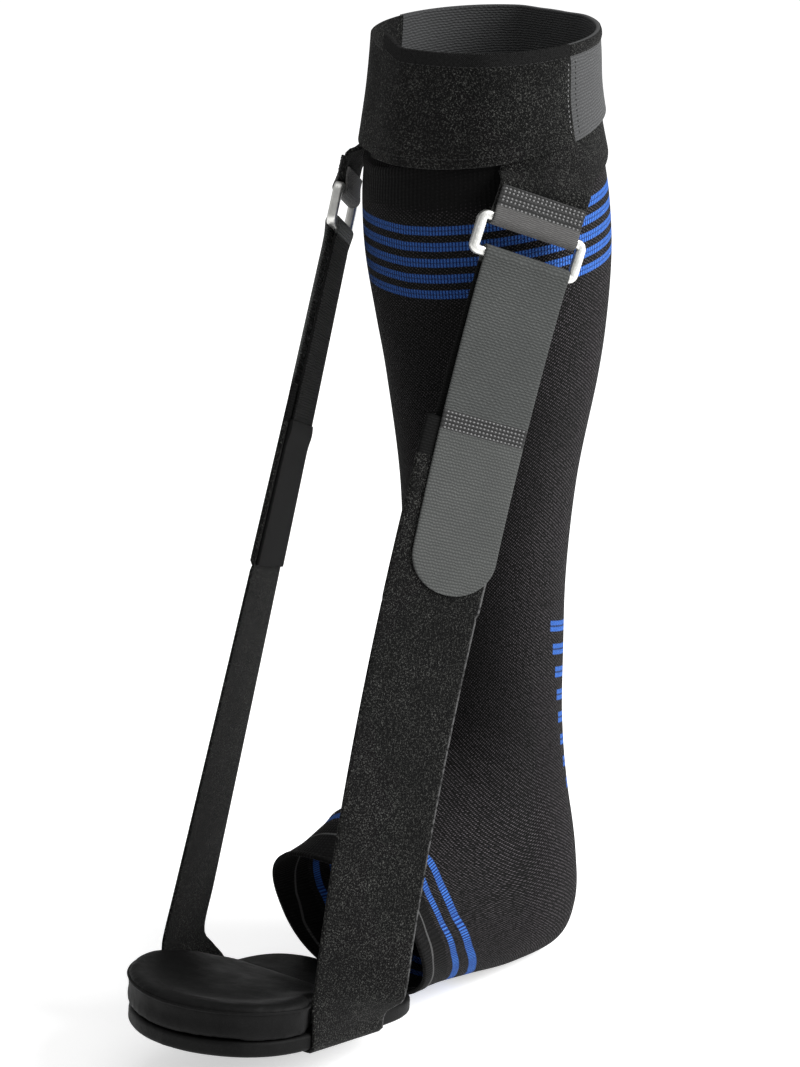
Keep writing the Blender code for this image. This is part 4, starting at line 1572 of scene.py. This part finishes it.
@dataclass(frozen=True)
class HangingTab(Maker):
    """A plush tab, the webbing loop sewn over its end and the ring in the loop."""

    word: str
    side: int
    width: float = 0.0430
    wing: float = 0.050
    drape: float = 0.013
    tuck: float = 0.014
    end_gap: float = 0.002
    rest: float = 0.004
    squareness: float = 0.55
    shift: float = 0.0003
    wing_ease: float = 0.020
    wing_rise: float = 0.026
    webbing: float = 0.0424
    band: float = 0.0098
    dot_rows: int = 5
    loop_outer: float = 0.0150
    loop_inner: float = 0.0100
    loop_ease: float = 0.006
    loop_turn: float = 0.003
    loop_pitch: float = 0.0007
    loop_columns: int = 30
    rows: int = 46
    columns: int = 56

    def face(self) -> Grid:
        """The tab's inside face, from under the cuff down to the ring.

        Returns:
            The face's grid.
        """
        place = RING.place
        flat_end = RING.bar + self.loop_outer + self.end_gap / 2
        start = RING.bar + RING.wire / 2 + self.end_gap
        edge = float(CUFF.bottom(RING.tab_bearing(CUFF.bottom(RING.bearing))))
        top = (edge + self.tuck - place.centre[2]) / place.up[2]
        rises = np.linspace(top, start, self.rows)
        wing = self.wing * ramp(rises, flat_end, flat_end + self.wing_rise)
        across = (self.width + wing)[:, None] * np.linspace(0, 1, self.columns)[None, :] - self.width / 2
        within = np.minimum(across, self.width / 2)
        flat = (place.centre + rises[:, None, None] * place.up
                + (self.shift + within)[..., None] * place.across - place.outward * TAB_WALL / 2)
        levels = LIMB.level_at(flat[..., 2])
        angle = np.arctan2(flat[..., 0], -flat[..., 1])
        offset = np.full(levels.shape, SLEEVE_WALL + CLEARANCE)
        stand_off = flat - LIMB.points(levels, angle, offset)
        stand_off = stand_off * (1 - ramp(across - within, 0.0, self.wing_ease))[..., None]
        wrapped = LIMB.points(levels, angle + 2 * (across - within) / LIMB.calf_width, offset)
        leaves = flat[..., 2] - (rises[:, None] - flat_end) * place.up[2]
        rests = np.minimum(CUFF.bottom(angle) - self.rest, leaves + self.drape)
        rests = np.maximum(rests, leaves + CUFF.relief)
        return wrapped + stand_off * (1 - ramp(flat[..., 2], leaves, rests))[..., None]

    def sided(self, points: Grid) -> Grid:
        """The grid as it is for the outer side, or its mirror image."""
        return points if self.side > 0 else flip(points)

    def tab(self) -> None:
        """The plush tab itself."""
        inner = self.sided(self.face())
        outer = inner + grid_normals(inner) * TAB_WALL
        piece = add_shell(self.word + "_plush_tab", inner, outer)
        dress(piece, (self.word + "_tab",), "black_plush", self.shop.plush, self.shop.backing)
        declare_cloth((inner + outer) / 2)

    def loop_face(self) -> Grid:
        """The webbing's inside face: down behind the bar, under it and up outside.

        Returns:
            The face's grid.
        """
        place, bar = RING.place, RING.bar
        tab_half = TAB_WALL / 2 + CLEARANCE
        radius = RING.wire / 2 + CLEARANCE
        path = [(-tab_half, bar + self.loop_inner), (-tab_half, bar + self.loop_ease)]
        turns = [math.radians(10 * step) for step in range(19)]
        path += [(-radius * math.cos(turn), bar - radius * math.sin(turn)) for turn in turns]
        path += [(tab_half, bar + self.loop_ease), (tab_half, bar + self.loop_ease + self.loop_turn),
                 (tab_half, bar + self.loop_outer)]
        columns = np.linspace(self.webbing / 2, -self.webbing / 2, self.loop_columns) + self.shift
        return np.array([[place.centre + place.outward * out + place.up * up + place.across * across
                          for across in columns] for out, up in path])

    def loop(self) -> None:
        """The webbing over the ring's upper bar, with its rows of box stitches."""
        inner = resample(self.sided(self.loop_face()), self.loop_pitch)
        normals = grid_normals(inner)
        outer = inner + normals * WEBBING_WALL
        piece = add_shell(self.word + "_webbing_loop", inner, outer)
        finishes = self.shop.roll, self.shop.roll, self.shop.seam_band
        dress(piece, (self.word + "_ring_loop",), "grey_webbing", *finishes)
        declare_cloth((inner + outer) / 2)
        travel = arc_lengths(outer, 0).mean(axis=1)
        repaint(piece, 2, travel[-1] - self.band, travel[-1] + self.band)
        lines = []
        for number in range(self.dot_rows):
            below = self.band * (number + 0.5) / self.dot_rows
            row = int(np.argmin(np.abs(travel[-1] - travel - below)))
            lines.append(outer[row, 1:-1])
        self.shop.sew(self.word + "_box_stitches", lines, BOX_SEAM, self.shop.pale_thread, "grey_webbing")

    def ring(self) -> None:
        """The metal ring: flat-sided wire bent to a long loop."""
        place = RING.place
        half_length = (RING.opening_length + RING.wire) / 2 + RING.corner / 2
        half_height = RING.bar
        tall = half_height * RING.end_roundness
        path = []
        for across, up, first in ((1, 1, 0), (-1, 1, 90), (-1, -1, 180), (1, -1, 270)):
            for step in range(13):
                turn = math.radians(first + 7.5 * step)
                path.append((across * (half_length - RING.corner) + RING.corner * math.cos(turn),
                             up * (half_height - tall) + tall * math.sin(turn)))
        flat = np.array(path)
        centre = place.centre + flat[:, :1] * place.across + flat[:, 1:] * place.up
        along = unit(np.roll(centre, -1, axis=0) - np.roll(centre, 1, axis=0))
        side = np.cross(along, place.outward)
        turns = np.linspace(0, 2 * math.pi, 25)[:-1]
        section = np.stack([squared(wave(turns), self.squareness) for wave in (np.cos, np.sin)], axis=-1)
        sided = np.array([self.side, 1.0, 1.0])
        piece = sweep(self.word + "_wire_ring", centre * sided, side * sided, place.outward * sided,
                      section * RING.wire / 2)
        dress(piece, (self.word + "_ring",), "ring_metal", self.shop.ring)

    def build(self) -> None:
        """Make the tab, its loop and its ring."""
        self.tab()
        self.loop()
        self.ring()


@dataclass(frozen=True)
class PadFrame:
    """Where the flat pad lies, and the sizes of both pads."""

    length: float = 0.136
    width: float = 0.097
    rear: float = 0.0925
    pitch: float = math.radians(5.5)
    rear_height: float = 0.0165
    thickness: float = 0.008
    rounding: float = 0.002
    wedge_height: float = 0.0168
    wedge_rear_height: float = 0.0045
    wedge_overhang: float = 0.0012
    wedge_length: float = 0.092
    rim: float = 0.022
    dish: float = 0.0045
    strap_reach: float = 0.063

    def at(self, reach: Values, side: Values, height: Values) -> Array:
        """Points over the pad's underside.

        Args:
            reach: Distance forward from the rear edge.
            side: Distance towards +X.
            height: Distance above the underside.

        Returns:
            The points, along a last axis of three.
        """
        reach, side, height = np.broadcast_arrays(np.asarray(reach, float), side, height)
        forward = np.array([0.0, -math.cos(self.pitch), math.sin(self.pitch)])
        upward = np.array([0.0, math.sin(self.pitch), math.cos(self.pitch)])
        rear = np.array([0.0, -self.rear, self.rear_height])
        return (rear + reach[..., None] * forward + height[..., None] * upward
                + side[..., None] * np.array([1.0, 0.0, 0.0]))


PAD = PadFrame()


@dataclass(frozen=True)
class Strap:
    """The run of the strap at one side, from the ring to the pads."""

    width: float = 0.0485
    top_drop: float = 0.078
    splice: float = 0.016
    bearing_low: float = math.radians(70)
    swell: float = 0.006

    @cached_property
    def foot(self) -> Array:
        """Middle of the strap's inside face beside the foot."""
        side = PAD.width / 2 + CLEARANCE + self.swell
        return PAD.at(PAD.strap_reach, side, PAD.thickness + PAD.wedge_height)

    @cached_property
    def top(self) -> Array:
        """Middle of the ring's lower bar."""
        return RING.place.centre - RING.place.up * RING.bar

    @property
    def run(self) -> float:
        """Length from the ring's lower bar to the foot."""
        return float(np.linalg.norm(self.top - self.foot))

    def at(self, drop: float) -> Place:
        """The strap's inside face at a drop below the ring's lower bar.

        Args:
            drop: Distance down the strap.

        Returns:
            The middle of the face and its directions.
        """
        top = self.top - RING.place.outward * STRAP_WALL / 2
        run = float(np.linalg.norm(top - self.foot))
        bend = top - RING.place.up * run / 2
        share = drop / run
        first = top + (bend - top) * share
        second = bend + (self.foot - bend) * share
        up = unit(first - second)
        bearing = RING.bearing + (self.bearing_low - RING.bearing) * share
        outward = np.array([math.sin(bearing), -math.cos(bearing), 0.0])
        outward = unit(outward - up * outward.dot(up))
        return Place(first + (second - first) * share, np.cross(up, outward), outward, up)


STRAP = Strap()


@dataclass(frozen=True)
class ClosureStrap(Maker):
    """The grey elastic: up behind the strap, over the ring's lower bar and down as a tongue."""

    word: str
    side: int
    webbing: float = 0.0424
    tongue: float = 0.156
    tip: float = 0.0185
    skew: float = 0.0040
    ease: float = 0.012
    shift: float = 0.0015
    band_at: float = 0.078
    band_height: float = 0.0095
    dot_rows: int = 5
    row_pitch: float = 0.0009
    rear_pitch: float = 0.0012
    rear_end: float = 0.006

    def path(self) -> list[tuple[float, float, float]]:
        """Drop, stand-off and half width of each row.

        Returns:
            Three numbers for each row.
        """
        radius = RING.wire / 2 + CLEARANCE
        middle = STRAP_WALL / 2
        outside = STRAP_WALL + CLEARANCE
        half = self.webbing / 2
        lowest = STRAP.top_drop + STRAP.splice
        rows = [(lowest - self.rear_pitch * step, -CLEARANCE, half)
                for step in range(int((lowest - self.rear_end) / self.rear_pitch))]
        turns = [math.radians(12 * step) for step in range(16)]
        rows += [(-radius * math.sin(turn), middle - radius * math.cos(turn), half) for turn in turns]
        straight = self.tongue - self.tip
        rows += [(self.ease * 0.5, outside + 0.0002, half)]
        rows += [(self.ease + (straight - self.ease) * step / 80, outside, half) for step in range(81)]
        for step in range(1, 24):
            turn = math.radians(86.5 * step / 23)
            rows.append((straight + self.tip * math.sin(turn), outside, half * math.cos(turn)))
        return rows

    def build(self) -> None:
        """Make the webbing and the sewn band across the tongue."""
        middle = STRAP_WALL / 2
        shares = np.linspace(-1, 1, 27)
        rows = []
        for drop, out, half in self.path():
            place = STRAP.at(drop)
            skew = self.skew * max(drop, 0.0) / self.tongue if out > middle else 0.0
            middle_line = place.centre + place.outward * out
            rows.append([middle_line + place.across * (self.shift + skew + half * share) for share in shares])
        inner = resample(np.array(rows), self.row_pitch)
        inner = inner if self.side > 0 else flip(inner)
        outer = inner + grid_normals(inner) * WEBBING_WALL
        across = arc_lengths(inner, 1)
        across = across - across[:, -1:] / 2
        travel = arc_lengths(inner[:, 13:14], 0)
        maps = {"cloth": np.stack([across, travel + 0 * across], axis=-1)}
        piece = add_shell(self.word + "_tongue", inner, outer, maps)
        band = travel[-1, 0] - (self.tongue - self.band_at)
        shop = self.shop
        finishes = shop.tongue, shop.tongue, shop.hook, shop.seam_band, shop.elastic_in_painted_shade
        dress(piece, (self.word + "_closure_strap",), "grey_webbing", *finishes)
        # Painted shade: the run behind the strap takes the darkened elastic.
        repaint(piece, 4, 0.0, STRAP.top_drop + STRAP.splice - 0.005)
        repaint(piece, 2, band + self.band_height / 2, band + self.tongue)
        repaint(piece, 3, band - self.band_height / 2, band + self.band_height / 2)
        declare_cloth((inner + outer) / 2)
        lines = []
        for number in range(self.dot_rows):
            step = self.band_height * ((number + 0.5) / self.dot_rows - 0.5)
            row = int(np.argmin(np.abs(travel[:, 0] - band - step)))
            lines.append(outer[row, 1:-1])
        self.shop.sew(self.word + "_band_stitches", lines, BAND_SEAM, self.shop.pale_thread, "grey_webbing")


@dataclass(frozen=True)
class Stirrup(Maker):
    """The plush strap up both sides and under the flat pad."""

    pitch: float = 0.0022
    columns: int = 25
    fold_end: float = 0.163
    fold_step: float = 0.0010
    fold_groove: float = 0.0009
    facing_start: float = 0.0945
    facing_wall: float = 0.0015
    facing_inset: float = 0.0030
    facing_rows: int = 46
    lump: float = 0.0008
    shaded_top: float = 0.018
    bends: tuple[tuple[float, float], ...] = ((0.55, 0.72), (0.15, 0.45), (0.0, 0.23))

    def half(self) -> Grid:
        """Inside face of the outer half, from its top end to the middle of the sole.

        Returns:
            The face's grid.
        """
        shares = np.linspace(-0.5, 0.5, self.columns) * STRAP.width
        rows = []
        for step in range(13):
            place = STRAP.at(STRAP.top_drop + (STRAP.run - STRAP.top_drop) * step / 12)
            rows.append(place.centre + shares[:, None] * place.across)
        foot = STRAP.at(STRAP.run)
        side = PAD.width / 2 + CLEARANCE
        start = PAD.thickness + PAD.wedge_height
        path = [(side + STRAP.swell * swell, start * rise) for swell, rise in self.bends]
        turns = [math.radians(15 * step) for step in range(7)]
        path += [(side - PAD.rounding + PAD.rounding * math.cos(turn),
                  PAD.rounding - CLEARANCE - PAD.rounding * math.sin(turn)) for turn in turns]
        path += [(side * share, -CLEARANCE) for share in (0.75, 0.5, 0.25, 0.0)]
        level = PAD.at(-1, 0, 0) - PAD.at(0, 0, 0)
        for out, height in path:
            square = float(ramp(start - height, 0.0, start * (1 - self.bends[-1][1])))
            across = foot.across + (level - foot.across) * square
            rows.append(PAD.at(PAD.strap_reach, out, height) + shares[:, None] * across)
        return np.array(rows)

    def build(self) -> None:
        """Make the strap in one piece."""
        outer_half = self.half()
        inner_half = outer_half[:-1][::-1] * np.array([-1.0, 1.0, 1.0])
        inner = resample(np.concatenate([outer_half, inner_half]), self.pitch)
        along = arc_lengths(inner, 0).mean(axis=1, keepdims=True)
        from_end = np.minimum(along, along[-1] - along) + STRAP.top_drop - self.fold_end
        step = self.fold_step * ramp(from_end, -0.0006, 0.0012)
        groove = self.fold_groove * np.exp(-((from_end - 0.0002) / 0.0009) ** 2)
        outer = inner + grid_normals(inner) * (STRAP_WALL - step - groove)[..., None]
        across = np.linspace(-0.5, 0.5, self.columns)[None, :] * STRAP.width + 0 * along
        maps = {"cloth": np.stack([across, along + 0 * across], axis=-1)}
        piece = add_shell("plush_stirrup", inner, outer, maps)
        finishes = self.shop.strap_plush, self.shop.lining, self.shop.elastic_in_painted_shade
        dress(piece, ("stirrup_strap",), "black_plush", *finishes)
        # The outside of both top ends of the strap takes the elastic's weave, darkened as painted shade.
        repaint(piece, 2, 0.0, self.shaded_top)
        repaint(piece, 2, float(along[-1, 0]) - self.shaded_top, float(along[-1, 0]))
        declare_cloth((inner + outer) / 2)
        for word, side in (("outer", 1), ("inner", -1)):
            self.facing(word, side)

    def facing(self, word: str, side: int) -> None:
        """The strap's end, folded over on the inside and sewn down.

        Args:
            word: The side's name.
            side: 1 for the outer side, -1 for the inner side.
        """
        shares = np.linspace(-0.5, 0.5, self.columns) * (STRAP.width - self.facing_inset)
        rows = []
        drops = np.linspace(self.facing_start, self.fold_end, self.facing_rows)
        for drop in drops:
            place = STRAP.at(float(drop))
            rows.append(place.centre - place.outward * CLEARANCE / 2 + shares[:, None] * place.across)
        against = np.array(rows)
        against = against if side > 0 else flip(against)
        rise = (drops - self.facing_start)[:, None, None]
        wall = self.facing_wall + self.lump * np.exp(-((rise - 0.004) / 0.005) ** 2)
        away = against - grid_normals(against) * wall
        piece = add_shell(word + "_folded_end", away, against, bulge=0.6)
        dress(piece, (), "black_plush", self.shop.backing, self.shop.backing)
        declare_cloth((away + against) / 2)


def pad_outline(edges: tuple[PadEdge, ...], length: float, width: float, steps: int) -> Array:
    """Points round a pad, seen from above.

    Args:
        edges: Half of the outline.
        length: The pad's length.
        width: The pad's width.
        steps: How many points from one row of the table to the next.

    Returns:
        Reach and distance to +X of each point.
    """
    half = smooth_rows(np.array(edges), np.arange((len(edges) - 1) * steps + 1) / steps)
    right = np.stack([half[:, 0] * length, np.maximum(half[:, 1], 0.0) * width], axis=-1)
    left = right[1:-1][::-1] * np.array([1.0, -1.0])
    return np.concatenate([right, left])


def draw_in(outline: Array, length: float, width: float, distance: float) -> Array:
    """An outline drawn in towards its middle by a distance at both ends and both sides.

    Args:
        outline: Reach and distance to +X of each point.
        length: The outline's length.
        width: The outline's width.
        distance: How far it is drawn in.

    Returns:
        The smaller outline.
    """
    shrink = np.array([1 - 2 * distance / length, 1 - 2 * distance / width])
    middle = np.array([length / 2, 0.0])
    return middle + (outline - middle) * shrink


def add_stack(name: str, rings: list[Array]) -> Piece:
    """A closed pad from rings of points, its underside first.

    Args:
        name: The piece's name.
        rings: Rings with the same number of points.

    Returns:
        The pad, with rings and a fan closing each end.
    """
    count = len(rings[0])
    points = np.concatenate(rings + [rings[0].mean(axis=0)[None], rings[-1].mean(axis=0)[None]])
    faces: list[tuple[int, ...]] = []
    for level in range(len(rings) - 1):
        for index in range(count):
            ahead = (index + 1) % count
            faces.append((level * count + index, (level + 1) * count + index,
                          (level + 1) * count + ahead, level * count + ahead))
    low, high = len(points) - 2, len(points) - 1
    last = (len(rings) - 1) * count
    for index in range(count):
        ahead = (index + 1) % count
        faces.append((low, index, ahead))
        faces.append((high, last + ahead, last + index))
    return add_mesh(name, points, faces, {})


@dataclass(frozen=True)
class Pads(Maker):
    """The flat pad and the toe wedge on it."""

    steps: int = 5
    piping: float = 0.0007
    piping_drawn: float = 0.012
    piping_rise: float = 0.80
    wedge_rows: int = 56
    wedge_slope: tuple[float, float] = (-0.15, 0.55)
    flat_rows: tuple[float, ...] = (0.040, 0.024, 0.010, 0.004)
    voxel: float = 0.0026
    pressure: float = 3.0
    swell_limit: float = 0.0010
    frames: int = 12

    def base(self) -> None:
        """The flat pad with rounded edges."""
        full = pad_outline(BASE_EDGES, PAD.length, PAD.width, self.steps)
        turns = [math.radians(15 * step) for step in range(7)]
        layers = [(drawn, 0.0) for drawn in self.flat_rows]
        layers += [(PAD.rounding * (1 - math.sin(turn)), PAD.rounding * (1 - math.cos(turn)))
                   for turn in turns]
        layers += [(0.0, PAD.thickness * 0.4), (0.0, PAD.thickness * 0.6)]
        layers += [(PAD.rounding * (1 - math.cos(turn)), PAD.thickness - PAD.rounding * (1 - math.sin(turn)))
                   for turn in turns]
        layers += [(drawn, PAD.thickness) for drawn in reversed(self.flat_rows)]
        rings = []
        for drawn, height in layers:
            ring = draw_in(full, PAD.length, PAD.width, drawn)
            rings.append(PAD.at(ring[:, 0], ring[:, 1], height))
        piece = add_stack("covered_base", rings)
        dress(piece, ("base_pad",), "pad_foam", self.shop.foam)

    def wedge_ring(self, steps: int, drawn: float, rise: float, dish: float) -> Array:
        """One ring round the wedge.

        Args:
            steps: How many points from one row of the outline's table to the next.
            drawn: How far it is drawn in, as a share of the rim.
            rise: Its height, as a share of the wedge's.
            dish: How deep it lies in the dish, as a share of the dish's depth.

        Returns:
            The ring's points.
        """
        width = PAD.width + 2 * PAD.wedge_overhang
        full = pad_outline(WEDGE_EDGES, PAD.wedge_length, width, steps)
        start = PAD.length + PAD.wedge_overhang - PAD.wedge_length
        ring = draw_in(full, PAD.wedge_length, width, PAD.rim * drawn)
        share = ramp(ring[:, 0] / PAD.wedge_length, *self.wedge_slope)
        top = PAD.wedge_rear_height + (PAD.wedge_height - PAD.wedge_rear_height) * share
        height = PAD.thickness + CLEARANCE + top * min(max(rise, 0.0), 1.0) - PAD.dish * dish * share
        return PAD.at(start + ring[:, 0], ring[:, 1], height)

    def wedge(self) -> None:
        """The toe wedge, filled out by a short cloth simulation."""
        layers = smooth_rows(np.array(WEDGE_LAYERS), np.linspace(0, len(WEDGE_LAYERS) - 1, self.wedge_rows))
        piece = add_stack("covered_wedge", [self.wedge_ring(self.steps, *layer) for layer in layers])
        self.fill(piece)
        dress(piece, ("toe_wedge",), "pad_foam", self.shop.foam)
        self.rim_piping()

    def rim_piping(self) -> None:
        """The sewn ridge under the wedge's upper edge."""
        path = self.wedge_ring(self.steps * 2, self.piping_drawn, self.piping_rise, 0.0)
        along = unit(np.roll(path, -1, axis=0) - np.roll(path, 1, axis=0))
        up = PAD.at(0, 0, 1) - PAD.at(0, 0, 0)
        turns = np.linspace(0, 2 * math.pi, 9)[:-1]
        section = np.stack([np.cos(turns), np.sin(turns)], axis=-1) * self.piping
        piece = sweep("wedge_piping", path, np.cross(along, up), up, section)
        dress(piece, (), "pad_foam", self.shop.foam)

    def fill(self, piece: Piece) -> None:
        """Swell a pad by cloth pressure, within a small limit.

        Args:
            piece: The pad, whose mesh is changed.
        """
        remesh = piece.modifiers.new("voxels", "REMESH")
        remesh.mode = "VOXEL"
        remesh.voxel_size = self.voxel
        plain_mesh(piece)
        before = np.empty(len(piece.data.vertices) * 3)
        piece.data.vertices.foreach_get("co", before)
        cloth = piece.modifiers.new("cloth", "CLOTH")
        cloth.settings.use_pressure = True
        cloth.settings.uniform_pressure_force = self.pressure
        cloth.settings.effector_weights.gravity = 0.0
        for number in range(1, self.frames + 1):
            bpy.context.scene.frame_set(number)
        plain_mesh(piece)
        bpy.context.scene.frame_set(1)
        after = np.empty_like(before)
        piece.data.vertices.foreach_get("co", after)
        moved = (after - before).reshape(-1, 3)
        length = np.linalg.norm(moved, axis=1, keepdims=True)
        moved *= np.minimum(1.0, self.swell_limit / np.maximum(length, 1e-9))
        piece.data.vertices.foreach_set("co", (before.reshape(-1, 3) + moved).ravel())
        rounder = piece.modifiers.new("subdivision", "SUBSURF")
        rounder.levels = rounder.render_levels = 1
        plain_mesh(piece)
        piece.data.shade_smooth()

    def build(self) -> None:
        """Make both pads."""
        self.base()
        self.wedge()


@dataclass(frozen=True)
class Studio:
    """The floor, the lights and the camera."""

    camera_at: tuple[float, float, float] = (1.34937, -1.63980, 0.87045)
    target: tuple[float, float, float] = (-0.016984, -0.040, 0.227233)
    lens: float = 4620 / 1067 * 36
    floor_height: float = -0.0012
    floor_size: float = 12.0
    floor_glow: float = 0.50
    world_light: float = 0.40
    aim: tuple[float, float, float] = (0.0, -0.04, 0.2)

    def floor(self) -> None:
        """A plain pale floor."""
        mesh = bpy.data.meshes.new("floor")
        size = self.floor_size
        corners = [(-size, -size), (size, -size), (size, size), (-size, size)]
        mesh.from_pydata([(*corner, self.floor_height) for corner in corners], [], [(0, 1, 2, 3)])
        floor = bpy.data.objects.new("floor", mesh)
        bpy.context.scene.collection.objects.link(floor)
        made = bpy.data.materials.new("pale_floor")
        made.use_nodes = True
        shader = made.node_tree.nodes["Principled BSDF"]
        shader.inputs["Base Color"].default_value = grey(0.92)
        shader.inputs["Roughness"].default_value = 0.9
        shader.inputs["Emission Color"].default_value = grey(1.0)
        shader.inputs["Emission Strength"].default_value = self.floor_glow
        shader.inputs["Specular IOR Level"].default_value = 0.1
        mesh.materials.append(made)

    def light(self, name: str, place: tuple[float, float, float], size: float, power: float) -> None:
        """A soft square light that faces the splint.

        Args:
            name: The light's name.
            place: Where it stands.
            size: The length of its side.
            power: Its power in watts.
        """
        data = bpy.data.lights.new(name, "AREA")
        data.shape = "SQUARE"
        data.size = size
        data.energy = power
        lamp = bpy.data.objects.new(name, data)
        lamp.location = place
        lamp.rotation_mode = "QUATERNION"
        lamp.rotation_quaternion = (Vector(place) - Vector(self.aim)).to_track_quat("Z", "Y")
        bpy.context.scene.collection.objects.link(lamp)

    def world(self) -> None:
        """An even pale surrounding."""
        surround = bpy.data.worlds.new("surround")
        surround.use_nodes = True
        back = surround.node_tree.nodes["Background"]
        back.inputs["Color"].default_value = grey(1.0)
        back.inputs["Strength"].default_value = self.world_light
        bpy.context.scene.world = surround

    def camera(self) -> None:
        """The camera at the photograph's angle."""
        data = bpy.data.cameras.new("camera")
        data.sensor_fit = "AUTO"
        data.sensor_width = 36.0
        data.lens = self.lens
        data.clip_start, data.clip_end = 0.05, 60.0
        eye = bpy.data.objects.new("camera", data)
        eye.location = self.camera_at
        eye.rotation_mode = "QUATERNION"
        eye.rotation_quaternion = (Vector(self.camera_at) - Vector(self.target)).to_track_quat("Z", "Y")
        bpy.context.scene.collection.objects.link(eye)
        bpy.context.scene.camera = eye

    def build(self) -> None:
        """Set up the studio."""
        self.camera()
        self.floor()
        self.world()
        self.light("key", (2.4, 0.9, 1.7), 1.8, 130.0)
        self.light("fill", (-1.4, -2.2, 1.4), 1.6, 3.0)
        self.light("top", (0.2, -0.2, 2.4), 1.8, 10.0)
        bpy.context.scene.view_settings.view_transform = "Standard"


def main() -> None:
    """Build the studio and dress the splint, piece by piece."""
    logging.basicConfig(level=logging.INFO, format="%(message)s")
    Studio().build()
    shop = Workshop.open()
    Sleeve(shop).build()
    Cuff(shop).build()
    for word, side in (("outer", 1), ("inner", -1)):
        HangingTab(shop, word, side).build()
        ClosureStrap(shop, word, side).build()
    Stirrup(shop).build()
    Pads(shop).build()


if __name__ == "__main__":
    main()
